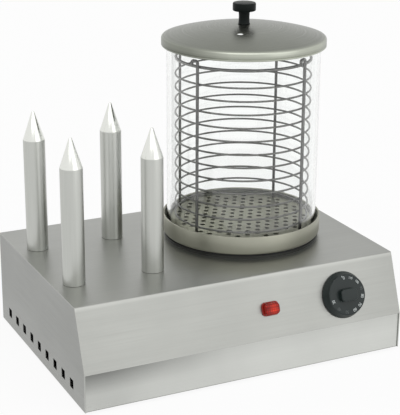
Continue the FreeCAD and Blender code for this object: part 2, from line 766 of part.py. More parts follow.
def makeSpikes():
    washers = []
    nuts = []
    bore = d.heaterRadius + d.heaterClearance
    boreTop = d.neckLength + d.heaterLength - d.heaterTail - d.neckLength + d.restGap
    under = top - d.sheetThickness
    for row, y in spikeRows:
        for column, x in spikeColumns:
            name = row + "_" + column
            body = newBody("bun_spike_" + name)
            place(body, x, y, top)
            section = [
                (bore, -d.neckLength),
                (d.neckRadius, -d.neckLength),
                (d.neckRadius, 0),
                (d.spikeRadius, 0),
                (d.spikeRadius, d.spikeShoulder),
                (d.spikeTipRadius, d.spikeHeight),
                (0, d.spikeHeight),
                (0, boreTop - d.neckLength),
                (bore, boreTop - d.neckLength),
            ]
            revolve(body, outline(body, "section", "XZ_Plane", section))
            roundEdges(body, lambda edge: isCircle(edge, d.spikeTipRadius, d.spikeHeight),
                       d.spikeTipRadius * 0.8, "blunt_tip")
            roundEdges(body, lambda edge: isCircle(edge, d.spikeRadius, d.spikeShoulder),
                       2, "soft_shoulder")
            keep(cylinder("spike_heater_" + name, d.heaterRadius, d.heaterLength,
                          x, y, top - d.neckLength - d.heaterTail), "spike_heater_" + name)
            washerZ = under - d.spikeWasherThickness
            washers.append(less(
                "spike_washer_" + name,
                cylinder("washer_disc_" + name, d.spikeWasherRadius, d.spikeWasherThickness,
                         x, y, washerZ),
                cylinder("washer_bore_" + name, d.neckRadius + d.neckClearance,
                         d.spikeWasherThickness, x, y, washerZ)))
            nuts.append(nut("spike_nut_" + name, d.spikeNutFlats, d.spikeNutHeight,
                            d.neckRadius + d.threadClearance, x, y, washerZ - d.spikeNutHeight))
    group("spike_washers", washers)
    group("spike_nuts", nuts)


# Pan: seat ring, gasket, deep-drawn pan, studs and nuts

def ringOf(label, outer, inner, height, z):
    body = newBody(label)
    place(body, panX, d.panY, z)
    section = [(inner, 0), (outer, 0), (outer, height), (inner, height)]
    revolve(body, outline(body, "section", "XZ_Plane", section))
    reach = d.panStudCircle / math.sqrt(2)
    places = [(i * reach, j * reach) for i in (-1, 1) for j in (-1, 1)]
    cutThrough(body, circles(body, "stud_circles", "XY_Plane", places, screwHoleRadius),
               back=True, name="stud_holes")
    return body


def makePan():
    ringOf("pan_seat_ring", d.seatRingRadius, panHoleRadius, d.seatRingHeight, top)
    ringOf("pan_gasket", d.seatRingRadius - 1, panHoleRadius, d.gasketThickness,
           top + d.seatRingHeight)
    wall = d.panWall
    outer = d.panRadius
    # The well is a deep-drawn bowl, welded into the ledge of the pan
    well = newBody("pan_well")
    place(well, panX, d.panY, top)
    section = [
        (0, -d.wellDepth),
        (d.wellRadius - d.wellDraft, -d.wellDepth),
        (d.wellRadius, ledge + wall),
        (d.wellRadius - wall, ledge + wall),
        (d.wellRadius - d.wellDraft - wall, wall - d.wellDepth),
        (0, wall - d.wellDepth),
    ]
    revolve(well, outline(well, "section", "XZ_Plane", section))
    body = newBody("water_pan")
    place(body, panX, d.panY, top)
    section = [
        (d.wellRadius + d.weldGap, ledge),
        (outer, ledge),
        (outer, d.panTop),
        (outer - d.rimWidth, d.panTop),
        (outer - d.rimWidth, d.panTop - d.rimHeight),
        (outer - wall, d.panTop - d.rimHeight),
        (outer - wall, ledge + wall),
        (d.wellRadius + d.weldGap, ledge + wall),
    ]
    revolve(body, outline(body, "section", "XZ_Plane", section))
    roundEdges(body, lambda edge: isCircle(edge, None, d.panTop), d.rimWidth * 0.4, "rolled_rim")
    roundEdges(body, lambda edge: isCircle(edge, outer, ledge), d.panCorner, "lower_corner")
    roundEdges(body, lambda edge: isCircle(edge, outer - wall, ledge + wall),
               d.panCorner - wall, "inner_corner")
    roundEdges(well, lambda edge: isCircle(edge, d.wellRadius - d.wellDraft, -d.wellDepth),
               d.panCorner, "floor_corner")
    studs = [cylinder("pan_stud_%d" % i, d.screwRadius, d.panStudLength + ledge, x, y,
                      top - d.panStudLength)
             for i, (x, y) in enumerate(panStuds())]
    group("pan_studs", studs)
    level = top - d.sheetThickness - d.nutHeight
    group("pan_nuts", [nut("pan_nut_%d" % i, d.nutFlats, d.nutHeight,
                           d.screwRadius + d.threadClearance, x, y, level)
                       for i, (x, y) in enumerate(panStuds())])


# Heater under the pan, held up by a plate on a stud

wellFloor = top - d.wellDepth
elementZ = wellFloor - d.restGap - d.elementTube
plateZ = elementZ - d.elementTube - d.restGap - d.clampPlateThickness


def makeHeater():
    ring = doc.addObject("Part::Torus", "element_ring")
    bind(ring, "Radius1", d.elementRadius)
    bind(ring, "Radius2", d.elementTube)
    bind(ring, "Angle3", d.elementAngle)
    place(ring, panX, d.panY, elementZ)
    legs = []
    for i, turn in enumerate((0, d.elementAngle.value)):
        x = panX + d.elementRadius * math.cos(math.radians(turn))
        y = d.panY + d.elementRadius * math.sin(math.radians(turn))
        legs.append(cylinder("element_leg_%d" % i, d.elementTube, d.elementLeg, x, y,
                             elementZ - d.elementLeg))
    keep(fused("heating_element", [ring] + legs), "heating_element")
    body = newBody("heater_clamp_plate")
    place(body, panX, d.panY, plateZ)
    pad(body, circles(body, "disc", "XY_Plane", [(0, 0)], d.clampPlateRadius),
        d.clampPlateThickness, "plate")
    cutThrough(body, circles(body, "stud_circle", "XY_Plane", [(0, 0)],
                             d.clampStudRadius + d.screwClearance), back=True, name="stud_hole")
    legHoles = [(d.elementRadius * math.cos(math.radians(turn)),
                 d.elementRadius * math.sin(math.radians(turn)))
                for turn in (0, d.elementAngle.value)]
    cutThrough(body, circles(body, "leg_circles", "XY_Plane", legHoles, d.elementTube + 1),
               back=True, name="leg_holes")
    keep(cylinder("clamp_stud", d.clampStudRadius, d.clampStudLength, panX, d.panY,
                  wellFloor - d.clampStudLength), "clamp_stud")
    keep(nut("clamp_nut", d.clampNutFlats, d.clampNutHeight, d.clampStudRadius + d.threadClearance,
             panX, d.panY, plateZ - d.clampNutHeight), "clamp_nut")
    keep(cylinder("safety_limiter", d.limiterRadius, d.limiterHeight, panX,
                  d.panY + d.limiterOffset, plateZ - d.limiterHeight), "safety_limiter")


# Basket: perforated plate on a rim, and the welded wire cage

plateFoot = ledge + d.panWall + d.restGap


def makePerforatedPlate():
    """The plate's sizes come from the sheet. Its holes lie in staggered rows."""
    radius = d.plateRadius.value
    sheet = d.plateSheet.value
    plate = Part.makeCylinder(radius, sheet)
    rows = int((radius - d.holeMargin.value) / d.holeRowPitch.value)
    drills = []
    for row in range(-rows, rows + 1):
        y = row * d.holeRowPitch.value
        shift = d.holePitch.value / 2 if row % 2 else 0
        reach = math.sqrt((radius - d.holeMargin.value) ** 2 - y * y)
        count = int(reach / d.holePitch.value) + 1
        for column in range(-count, count + 1):
            x = column * d.holePitch.value + shift
            if abs(x) <= reach:
                drills.append(Part.makeCylinder(d.holeRadius.value, sheet * 3,
                                                FreeCAD.Vector(x, y, -sheet)))
    plate = plate.cut(Part.makeCompound(drills))
    thing = doc.addObject("Part::Feature", "perforated_plate")
    thing.Shape = plate
    place(thing, panX, d.panY, top + d.plateTop - d.plateSheet)
    keep(thing, "perforated_plate")
    rim = newBody("plate_rim")
    place(rim, panX, d.panY, top + plateFoot)
    inner = d.plateRadius - d.plateSheet
    height = d.plateTop - d.plateSheet - plateFoot
    section = [(inner, 0), (d.plateRadius, 0), (d.plateRadius, height), (inner, height)]
    revolve(rim, outline(rim, "section", "XZ_Plane", section))


postAngles = [-65.5, 28, 122.5, -139]


def makeWireBasket():
    """Rings inside four posts. The posts stand on the plate and end in small hooks."""
    rings = []

    def wireRing(name, wire, level):
        ring = doc.addObject("Part::Torus", name)
        bind(ring, "Radius1", d.ringRadius + d.ringWire - wire)
        bind(ring, "Radius2", wire)
        rings.append(place(ring, panX, d.panY, top + level))

    for i in range(int(d.ringCount.value)):
        wireRing("ring_%d" % i, d.ringWire, d.ringTop - i * d.ringPitch)
    wireRing("top_ring", d.topRingWire, d.topRingLevel)
    group("basket_rings", rings)
    reach = (d.ringRadius + d.ringWire + d.postWire + d.weldGap).value
    foot = top + d.plateTop
    height = (d.topRingLevel + d.hookRise - d.plateTop).value
    across = d.hookReach.value
    posts = []
    for i, angle in enumerate(postAngles):
        turn = math.radians(angle)
        side = FreeCAD.Vector(-math.cos(turn), -math.sin(turn), 0) * across
        low = FreeCAD.Vector(reach * math.sin(turn), -reach * math.cos(turn), 0)
        high = low + FreeCAD.Vector(0, 0, height)
        end = high + side - FreeCAD.Vector(0, 0, d.hookDrop.value)
        wire = Part.Wire(roundedPath([low, high, high + side, end], d.hookBend.value))
        circle = Part.Wire([Part.makeCircle(d.postWire.value, low, FreeCAD.Vector(0, 0, 1))])
        post = doc.addObject("Part::Feature", "post_%d" % i)
        post.Shape = wire.makePipeShell([circle], True, False)
        posts.append(place(post, panX, d.panY, foot))
    group("basket_posts", posts)


# Glass cylinder, standing on the pan's ledge

glassFoot = top + ledge + d.panWall + d.restGap


def makeGlass():
    body = newBody("glass_cylinder")
    place(body, panX, d.panY, glassFoot)
    section = [
        (d.glassRadius - d.glassWall, 0),
        (d.glassRadius, 0),
        (d.glassRadius, d.glassHeight),
        (d.glassRadius - d.glassWall, d.glassHeight),
    ]
    revolve(body, outline(body, "section", "XZ_Plane", section))
    roundEdges(body, isCircle, d.glassWall / 4, "fire_polish")


# Lid with its locating ring and knob

lidZ = top + d.lidLevel
seatLevel = glassFoot + d.glassHeight + d.restGap - lidZ
domeInner = d.lidRadius - d.lidSheet


def makeLid():
    body = newBody("lid")
    place(body, panX, d.panY, lidZ)
    beadInner = d.lidRadius - d.lidSheet - d.lidBead
    section = [
        (beadInner, 0),
        (d.lidRadius, 0),
        (d.lidRadius, d.lidSkirt, "dome"),
        (0, d.lidSkirt + d.lidDome),
        (0, d.lidSkirt + d.lidDome - d.lidSheet, "dome"),
        (domeInner, d.lidSkirt - d.lidSheet),
        (domeInner, d.lidBeadHeight),
        (beadInner, d.lidBeadHeight),
    ]
    revolve(body, outline(body, "section", "XZ_Plane", section))
    roundEdges(body, lambda edge: isCircle(edge, d.lidRadius), 1.2, "soft_edges")
    cutThrough(body, circles(body, "screw_circle", "XY_Plane", [(0, 0)],
                             d.knobScrewRadius + d.screwClearance), back=True, name="screw_hole")
    vent = [(-d.lidVentAcross, -d.lidVentForward)]
    cutThrough(body, circles(body, "vent_circle", "XY_Plane", vent, d.lidVentRadius),
               back=True, name="steam_hole")
    # Ring under the lid: a flat flange on the glass and a collar inside it
    ring = newBody("lid_locating_ring")
    place(ring, panX, d.panY, lidZ + seatLevel)
    flange = d.glassRadius + 2
    sheet = d.lidSheet / 2
    # The flange's lip is welded to the dome from below
    domeRadius = (domeInner * domeInner + d.lidDome * d.lidDome) / (2 * d.lidDome)
    domeTop = d.lidSkirt + d.lidDome - d.lidSheet
    lip = domeTop - domeRadius + root(domeRadius * domeRadius - flange * flange) - seatLevel
    section = [
        (d.locatingRadius - sheet, -d.locatingDepth),
        (d.locatingRadius, -d.locatingDepth),
        (d.locatingRadius, 0),
        (flange, 0),
        (flange, lip - d.weldGap),
        (flange - sheet, lip - d.weldGap),
        (flange - sheet, sheet),
        (d.locatingRadius - sheet, sheet),
    ]
    revolve(ring, outline(ring, "section", "XZ_Plane", section))


knobZ = lidZ + d.lidSkirt + d.lidDome


def makeKnob():
    body = newBody("lid_knob")
    place(body, panX, d.panY, knobZ)
    bore = d.knobScrewRadius + d.threadClearance
    section = [
        (bore, 0),
        (d.knobStemRadius, 0),
        (d.knobStemRadius, d.knobStemHeight),
        (d.knobCapRadius, d.knobStemHeight),
        (d.knobCapRadius, d.knobStemHeight + d.knobCapHeight),
        (0, d.knobStemHeight + d.knobCapHeight),
        (0, d.knobScrewDepth + 1),
        (bore, d.knobScrewDepth + 1),
    ]
    revolve(body, outline(body, "section", "XZ_Plane", section))
    roundEdges(body, lambda edge: isCircle(edge, d.knobCapRadius), 2, "soft_cap")
    under = knobZ - d.lidSheet - 0.1
    washer = d.knobWasherThickness
    disc = cylinder("knob_washer_disc", d.knobWasherRadius, washer, panX, d.panY, under - washer)
    keep(less("lid_knob_washer", disc,
              cylinder("knob_washer_bore", bore, washer, panX, d.panY, under - washer)),
         "lid_knob_washer")
    head = d.knobScrewHeadHeight
    keep(fused("lid_knob_screw", [
        cylinder("knob_screw_head", d.knobScrewHeadRadius, head, panX, d.panY, under - washer - head),
        cylinder("knob_screw_shank", d.knobScrewRadius, washer + d.lidSheet + d.knobScrewDepth + 1.1,
                 panX, d.panY, under - washer - 1)]), "lid_knob_screw")


# Thermostat: dial and shaft turn, the rest is fixed behind the slope

def makeThermostat():
    dial = newBody("thermostat_dial")
    onSlope(dial, dialX)
    bore = d.shaftRadius
    section = [
        (d.dialRecessRadius, d.dialGap),
        (d.dialRadius, d.dialGap),
        (d.dialRadius, d.dialGap + d.dialEdge),
        (d.dialFaceRadius, d.dialFaceHeight),
        (0, d.dialFaceHeight),
        (0, d.dialGap + d.dialRecessDepth),
        (d.dialRecessRadius, d.dialGap + d.dialRecessDepth),
    ]
    revolve(dial, outline(dial, "section", "XZ_Plane", section))
    roundEdges(dial, lambda edge: isCircle(edge, d.dialFaceRadius), 1, "face_edge")
    grip = outline(dial, "grip_outline", "XY_Plane",
                   rectangle(-d.gripLength / 2, -d.gripWidth / 2, d.gripLength / 2, d.gripWidth / 2))
    pad(dial, grip, d.dialFaceHeight + d.gripHeight, "grip")
    cutThrough(dial, circles(dial, "under_grip", "XY_Plane", [(0, 0)], d.dialRecessRadius),
               back=True, length=d.dialGap + d.dialRecessDepth, name="recess")
    gripLevel = (d.dialFaceHeight + d.gripHeight).value
    roundEdges(dial, lambda edge: isUpright(edge) and edge.BoundBox.ZMax > gripLevel - 0.01,
               d.gripWidth / 3, "grip_corners")
    roundEdges(dial, lambda edge: abs(edge.BoundBox.ZMin - gripLevel) < 0.01, 1.5, "grip_top")
    cutThrough(dial, circles(dial, "bore_circle", "XY_Plane", [(0, 0)], bore),
               back=True, length=d.shaftReach, name="bore")
    shaft = cylinder("thermostat_shaft", d.shaftRadius, d.shaftReach + d.thermostatDepth * 0.8)
    onSlope(shaft, dialX, d.thermostatDepth * 0.8)
    keep(shaft, "thermostat_shaft")
    body = newBody("thermostat_body")
    onSlope(body, dialX, d.sheetThickness)
    shell = outline(body, "outline", "XY_Plane",
                    rectangle(-d.thermostatWidth / 2, -d.thermostatHeight / 2,
                              d.thermostatWidth / 2, d.thermostatHeight / 2))
    pad(body, shell, d.thermostatDepth, "shell", back=True)
    pad(body, circles(body, "bushing_circle", "XY_Plane", [(0, 0)], d.bushingRadius),
        d.sheetThickness + 1, "bushing")
    runningHole = circles(body, "shaft_circle", "XY_Plane", [(0, 0)],
                          d.shaftRadius + d.shaftClearance)
    bind(runningHole, "AttachmentOffset.Base.z", d.sheetThickness + 1)
    cutThrough(body, runningHole, length=d.thermostatDepth * 0.9, name="shaft_hole")
    threads = circles(body, "thread_circles", "XY_Plane",
                      [(-d.thermostatScrewX, 0), (d.thermostatScrewX, 0)],
                      d.screwRadius + d.threadClearance)
    cutThrough(body, threads, length=8, name="threads")
    roundEdges(body, lambda edge: isUpright(edge) and edge.Length > d.thermostatDepth.value * 0.9
               and edge.BoundBox.XLength < 0.01, 3, "shell_corners")
    screws = []
    for side, name in ((-1, "left"), (1, "right")):
        head = cylinder("thermostat_head_" + name, d.screwHeadRadius, 1.6)
        onSlope(head, dialX + side * d.thermostatScrewX)
        shank = cylinder("thermostat_shank_" + name, d.screwRadius, d.sheetThickness + 7)
        onSlope(shank, dialX + side * d.thermostatScrewX, d.sheetThickness + 6)
        screws.append(fused("thermostat_screw_" + name, [head, shank]))
    group("thermostat_screws", screws)


# Pilot lamp on the slope

def lensOutline(border):
    """The lens's rectangle, wider by a border all round."""
    across = d.lensWidth / 2 + border
    rise = d.lensRise / 2 + border
    return rectangle(-across, -rise, across, rise)


def makePilotLamp():
    lens = newBody("pilot_lamp_lens")
    onSlope(lens, lampX)
    pad(lens, outline(lens, "outline", "XY_Plane", lensOutline(0)), d.lensHeight, "lens")
    roundEdges(lens, isUpright, d.lensCorner, "corners")
    roundEdges(lens, lambda edge: abs(edge.BoundBox.ZMin - d.lensHeight.value) < 0.01, 1.2, "front_edge")
    bezel = newBody("pilot_lamp_bezel")
    onSlope(bezel, lampX)
    pad(bezel, outline(bezel, "outline", "XY_Plane", lensOutline(d.bezelBorder)), d.bezelHeight, "frame")
    roundEdges(bezel, isUpright, d.lensCorner + 1, "corners")
    cutThrough(bezel, outline(bezel, "window", "XY_Plane", lensOutline(d.lampGap)),
               back=True, name="opening")
    inner = (d.lensWidth / 2 + d.lampGap).value
    roundEdges(bezel, lambda edge: isUpright(edge) and max(abs(edge.BoundBox.XMax),
               abs(edge.BoundBox.XMin)) < inner + 0.01, d.lensCorner, "opening_corners")
    half = d.lampBodyWidth / 2
    body = newBody("pilot_lamp_body")
    onSlope(body, lampX)
    pad(body, outline(body, "outline", "XY_Plane", rectangle(-half, -half, half, half)),
        d.lampBodyDepth, "barrel", back=True)
    clip = newBody("pilot_lamp_clip")
    onSlope(clip, lampX, d.sheetThickness)
    outer = d.clipWidth / 2
    inner = half + d.lampGap
    pad(clip, outline(clip, "outline", "XY_Plane", rectangle(-outer, -outer, outer, outer)),
        d.clipThickness, "plate", back=True)
    cutThrough(clip, outline(clip, "window", "XY_Plane", rectangle(-inner, -inner, inner, inner)),
               name="opening")


# Sensing bulb, its clip and the capillary to the thermostat

bulbZ = wellFloor - d.restGap - d.bulbRadius


def makeSensor():
    bulb = cylinder("sensing_bulb", d.bulbRadius, d.bulbLength)
    place(bulb, panX - d.bulbLength / 2, bulbY, bulbZ, (0, 1, 0), 90)
    keep(bulb, "sensing_bulb")
    gap = bulbZ - d.bulbRadius - d.restGap - plateZ - d.clampPlateThickness
    keep(box("bulb_clip", d.bulbClipLength, d.bulbClipWidth, gap,
             panX, bulbY, plateZ + d.clampPlateThickness), "bulb_clip")


def makeCapillary():
    """Straight runs joined by tangent arcs, from the bulb to the thermostat's lower side."""
    end = FreeCAD.Vector((panX + d.bulbLength / 2).value, bulbY.value, bulbZ.value)
    depth = d.sheetThickness.value + d.thermostatDepth.value * 0.6
    sine, cosine = slopeSine.value, slopeCosine.value
    down = d.thermostatHeight.value / 2
    foot = FreeCAD.Vector(dialX.value,
                          controlY.value + depth * cosine - down * sine,
                          controlZ.value - depth * sine - down * cosine)
    runUp = 2.4 * d.capillaryBend.value
    low = foot + FreeCAD.Vector(0, -sine, -cosine) * runUp
    aside = foot.x + d.capillaryLoop.value
    points = [end, FreeCAD.Vector(aside, end.y, end.z), FreeCAD.Vector(aside, end.y, low.z), low, foot]
    path = roundedPath(points, d.capillaryBend.value)
    wire = Part.Wire(path)
    direction = (points[1] - points[0]).normalize()
    circle = Part.Wire([Part.makeCircle(d.capillaryRadius.value, points[0], direction)])
    tube = wire.makePipeShell([circle], True, False)
    print("capillary volume over section times length:",
          tube.Volume / (math.pi * d.capillaryRadius.value ** 2 * wire.Length))
    thing = doc.addObject("Part::Feature", "capillary")
    thing.Shape = tube
    place(thing)
    keep(thing, "capillary")


def roundedPath(points, bend):
    """Edges along the points, each inner corner replaced by a tangent arc."""
    edges = []
    start = points[0]
    for before, corner, after in zip(points, points[1:], points[2:]):
        toBefore = (before - corner).normalize()
        toAfter = (after - corner).normalize()
        turn = math.pi - toBefore.getAngle(toAfter)
        shorter = min((before - corner).Length, (after - corner).Length)
        radius = min(bend, 0.45 * shorter / math.tan(turn / 2))
        cut = radius * math.tan(turn / 2)
        first = corner + toBefore * cut
        last = corner + toAfter * cut
        bisector = (toBefore + toAfter).normalize()
        middle = corner + bisector * (radius / math.cos(turn / 2) - radius)
        edges.append(Part.LineSegment(start, first).toShape())
        edges.append(Part.Arc(first, middle, last).toShape())
        start = last
    edges.append(Part.LineSegment(start, points[-1]).toShape())
    return edges


# Terminal block on the tray

def makeTerminalBlock():
    level = base + d.sheetThickness - d.sheetGap / 2
    body = newBody("terminal_block")
    place(body, terminalX, terminalY, level)
    length, width = d.terminalLength / 2, d.terminalWidth / 2
    section = [
        (-width, 0),
        (width, 0),
        (width, d.terminalHeight * 0.5),
        (width * 0.5, d.terminalHeight),
        (-width * 0.5, d.terminalHeight),
        (-width, d.terminalHeight * 0.5),
    ]
    pad(body, outline(body, "section", "YZ_Plane", section), d.terminalLength, "block", both=True)
    pitch = d.terminalLength / 6
    grooves = [(pitch * i, 0) for i in (-2, -1, 0, 1, 2)]
    cutThrough(body, circles(body, "screw_wells", "XY_Plane", grooves, d.screwRadius), back=True,
               name="wells")
    screws = [(-length + pitch / 2, 0), (length - pitch / 2, 0)]
    cutThrough(body, circles(body, "fixing_circles", "XY_Plane", screws, screwHoleRadius),
               back=True, name="fixing_holes")
    fixings = []
    for i, side in enumerate((-1, 1)):
        x = terminalX + side * (length - pitch / 2)
        fixings.append(screw("terminal_screw_%d" % i, x, terminalY, level + d.terminalHeight,
                             d.terminalHeight - d.restGap, True))
    group("terminal_screws", fixings)


# Cable gland in the rear panel, without a cable

def makeGland():
    x, z = glandX, base + d.glandLevel

    def turnOut(body, out=0):
        place(body, x, halfDepth + out, z, (1, 0, 0), -90)

    inside = d.sheetThickness + d.glandReach
    body = newBody("gland_body")
    turnOut(body)
    section = [
        (d.glandBore, -inside),
        (d.glandThread, -inside),
        (d.glandThread, d.glandFlange + 5),
        (d.glandBore, d.glandFlange + 5),
    ]
    revolve(body, outline(body, "section", "XZ_Plane", section))
    ring = outline(body, "hexagon", "XY_Plane", hexagon(d.glandFlats))
    pad(body, ring, d.glandFlange, "flange")
    cutThrough(body, circles(body, "bore", "XY_Plane", [(0, 0)], d.glandBore), both=True,
               name="bore_through")
    seal = newBody("gland_seal")
    turnOut(seal, d.glandFlange)
    section = [
        (d.sealBore, -4),
        (d.glandBore - 0.05, -4),
        (d.glandBore - 0.05, 6),
        (d.sealBore, 6),
    ]
    revolve(seal, outline(seal, "section", "XZ_Plane", section))
    cap = newBody("gland_cap")
    turnOut(cap, d.glandFlange + d.restGap)
    inner = d.glandThread + d.threadClearance
    mouth = d.sealBore + 1
    section = [
        (inner, 0),
        (d.glandFlats / 2, 0),
        (d.glandFlats / 2, d.glandCap * 0.55),
        (mouth + 1.5, d.glandCap),
        (mouth, d.glandCap),
        (mouth, d.glandCap - 3),
        (inner, d.glandCap - 3),
    ]
    revolve(cap, outline(cap, "section", "XZ_Plane", section))
    lock = newBody("gland_lock_nut")
    turnOut(lock, -d.sheetThickness)
    pad(lock, outline(lock, "hexagon", "XY_Plane", hexagon(d.glandFlats)), 4, "nut", back=True)
    cutThrough(lock, circles(lock, "bore", "XY_Plane", [(0, 0)], inner), both=True, name="bore_through")


makeCover()
makeSidePanel(-1, "side_panel_left")
makeSidePanel(1, "side_panel_right")
makeRearPanel()
makeBaseTray()
makeFeet()
makeRearScrews()
makeSpikes()
makePan()
makeHeater()
makePerforatedPlate()
makeWireBasket()
makeGlass()
makeLid()
makeKnob()
makeThermostat()
makePilotLamp()
makeSensor()
makeCapillary()
makeTerminalBlock()
makeGland()
doc.recompute()

# Everything is checked before anything is written
for thing in doc.Objects:
    if "Invalid" in thing.State or "Error" in thing.State:
        raise RuntimeError("%s failed: %s" % (thing.Label, thing.State))
for thing in subParts:
    if thing.Shape.isNull() or not thing.Shape.isValid() or not thing.Shape.Solids:
        raise RuntimeError("%s has no valid solid" % thing.Label)

os.makedirs("parts", exist_ok=True)
for thing in subParts:
    thing.Shape.exportStep(os.path.join("parts", thing.Label + ".step"))
print(len(subParts), "sub-parts written")
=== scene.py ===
import bpy
import bmesh
from math import acos, cos, pi, radians, sin, sqrt
from mathutils import Matrix, Vector


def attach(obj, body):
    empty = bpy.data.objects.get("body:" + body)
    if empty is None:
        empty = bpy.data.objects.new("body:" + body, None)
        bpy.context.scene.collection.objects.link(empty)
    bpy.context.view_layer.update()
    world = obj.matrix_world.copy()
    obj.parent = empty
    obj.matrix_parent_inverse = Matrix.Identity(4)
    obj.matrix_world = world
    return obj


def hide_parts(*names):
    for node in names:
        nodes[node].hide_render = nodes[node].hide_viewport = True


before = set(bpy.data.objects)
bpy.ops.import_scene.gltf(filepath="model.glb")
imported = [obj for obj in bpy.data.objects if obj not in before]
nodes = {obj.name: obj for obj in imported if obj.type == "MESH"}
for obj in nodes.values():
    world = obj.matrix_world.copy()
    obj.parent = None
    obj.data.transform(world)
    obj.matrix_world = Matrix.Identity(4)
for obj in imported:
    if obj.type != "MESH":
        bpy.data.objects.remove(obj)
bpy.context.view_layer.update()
print("frame loaded:", len(nodes), "nodes")

# Sizes are in millimetres, and mm turns them into metres
mm = 0.001

# Where the round parts and the controls sit, as in the CAD model
potAxis = Vector((77.5, 17.86, 0)) * mm
housingMiddle = -5.14
housingTop = 128
slope = {"run": 28, "rise": 76}
slopeTilt = radians(90) - acos(slope["rise"] / sqrt(slope["run"] ** 2 + slope["rise"] ** 2))
dialSpot = Vector((139, -148.176, 87.188)) * mm
lampSpot = Vector((33, -148.176, 87.188)) * mm


# Mesh helpers

def newObject(name, data):
    thing = bpy.data.objects.new(name, data)
    bpy.context.scene.collection.objects.link(thing)
    return thing


def newMesh(name, bm):
    mesh = bpy.data.meshes.new(name)
    bm.to_mesh(mesh)
    bm.free()
    return mesh


def newPiece(name, bm, body, material, smoothAngle=35):
    # A smooth piece with sharp edges past smoothAngle, riding on a body
    mesh = newMesh(name, bm)
    piece = newObject(name, mesh)
    mesh.shade_smooth()
    mesh.set_sharp_from_angle(angle=radians(smoothAngle))
    mesh.materials.append(material)
    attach(piece, body)
    return piece


def finishedMesh(thing):
    # A new mesh of an object with its modifiers or its curve carried out
    depsgraph = bpy.context.evaluated_depsgraph_get()
    return bpy.data.meshes.new_from_object(thing.evaluated_get(depsgraph))


def curveMesh(curve):
    # A mesh in the place of a curve or a text
    holder = newObject(curve.name, curve)
    mesh = finishedMesh(holder)
    bpy.data.objects.remove(holder)
    bpy.data.curves.remove(curve)
    return mesh


def addMesh(bm, mesh):
    # Moves a mesh into a bmesh
    bm.from_mesh(mesh)
    bpy.data.meshes.remove(mesh)


def applyModifiers(piece):
    old = piece.data
    mesh = finishedMesh(piece)
    piece.modifiers.clear()
    piece.data = mesh
    bpy.data.meshes.remove(old)


def softEdges(piece, width):
    bevel = piece.modifiers.new("softEdges", "BEVEL")
    bevel.width = width * mm
    bevel.segments = 2
    bevel.limit_method = "ANGLE"
    bevel.angle_limit = radians(35)
    bevel.use_clamp_overlap = True


def turnAround(bm, outline, steps):
    # Spins verts and their edges once about the Z axis
    bmesh.ops.spin(bm, geom=outline, cent=(0, 0, 0), axis=(0, 0, 1),
                   steps=steps, angle=2 * pi, use_merge=True)


def spun(profile, axis=potAxis, steps=160):
    # A ring or solid turned from a closed profile of (radius, height)
    bm = bmesh.new()
    verts = [bm.verts.new((r * mm, 0, z * mm)) for r, z in profile]
    edges = [bm.edges.new(pair) for pair in zip(verts, verts[1:])]
    edges.append(bm.edges.new((verts[-1], verts[0])))
    turnAround(bm, verts + edges, steps)
    bmesh.ops.remove_doubles(bm, verts=bm.verts, dist=1e-6)
    bmesh.ops.recalc_face_normals(bm, faces=bm.faces)
    bmesh.ops.translate(bm, verts=bm.verts, vec=axis)
    return bm


def wireRing(bm, radius, level, wire, steps, sides):
    # Adds a closed ring of round wire
    turn = Matrix.Translation((radius * mm, 0, level * mm)) @ Matrix.Rotation(pi / 2, 4, "X")
    made = bmesh.ops.create_circle(bm, cap_ends=False, radius=wire * mm,
                                   segments=sides, matrix=turn)
    circle = made["verts"]
    edges = list({edge for vert in circle for edge in vert.link_edges})
    turnAround(bm, circle + edges, steps)


def wireMesh(name, points, wire):
    # A round wire along points in metres
    curve = bpy.data.curves.new(name, "CURVE")
    curve.dimensions = "3D"
    curve.bevel_depth = wire * mm
    curve.bevel_resolution = 3
    curve.use_fill_caps = True
    spline = curve.splines.new("POLY")
    spline.points.add(len(points) - 1)
    for spot, point in zip(spline.points, points):
        spot.co = (*point, 1)
    return curveMesh(curve)


def bevelEdges(bm, edges, width, steps):
    bmesh.ops.bevel(bm, geom=edges, offset=width * mm, affect="EDGES", segments=steps,
                    profile=0.5, material=-1, clamp_overlap=True)


def roundedBlock(width, depth, low, high, corner, cornerSteps, edge, edgeSteps):
    # A block from one height to another, with rounded upright edges and a rounded top
    bm = bmesh.new()
    middle = Matrix.Translation((0, 0, (low + high) / 2 * mm))
    size = Matrix.Diagonal((width * mm, depth * mm, (high - low) * mm, 1))
    bmesh.ops.create_cube(bm, size=1, matrix=middle @ size)
    upright = [side for side in bm.edges if abs(side.verts[0].co.z - side.verts[1].co.z) > mm]
    bevelEdges(bm, upright, corner, cornerSteps)
    peak = max(vert.co.z for vert in bm.verts)
    rim = [side for side in bm.edges if min(vert.co.z for vert in side.verts) > peak - 1e-6]
    bevelEdges(bm, rim, edge, edgeSteps)
    return bm


def cadCopy(name, node, body, material, bevel=0):
    # A merged, smooth-shaded copy of a CAD node that stands for it
    bm = bmesh.new()
    bm.from_mesh(nodes[node].data)
    bmesh.ops.remove_doubles(bm, verts=bm.verts, dist=2e-6)
    bmesh.ops.dissolve_limit(bm, angle_limit=radians(0.5), verts=bm.verts, edges=bm.edges)
    piece = newPiece(name, bm, body, material)
    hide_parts(node)
    if bevel:
        softEdges(piece, bevel)


def putOnSlope(bm, spot):
    # From a control's own place, with Z out of the slope, to its place on the slope
    matrix = Matrix.Translation(spot) @ Matrix.Rotation(slopeTilt, 4, "X")
    bmesh.ops.transform(bm, matrix=matrix, verts=bm.verts)


# Material helpers

def newMaterial(name):
    material = bpy.data.materials.new(name)
    material.use_nodes = True
    tree = material.node_tree
    return material, tree, tree.nodes["Principled BSDF"]


def addNode(tree, kind, **values):
    node = tree.nodes.new(kind)
    for key, value in values.items():
        setattr(node, key, value)
    return node


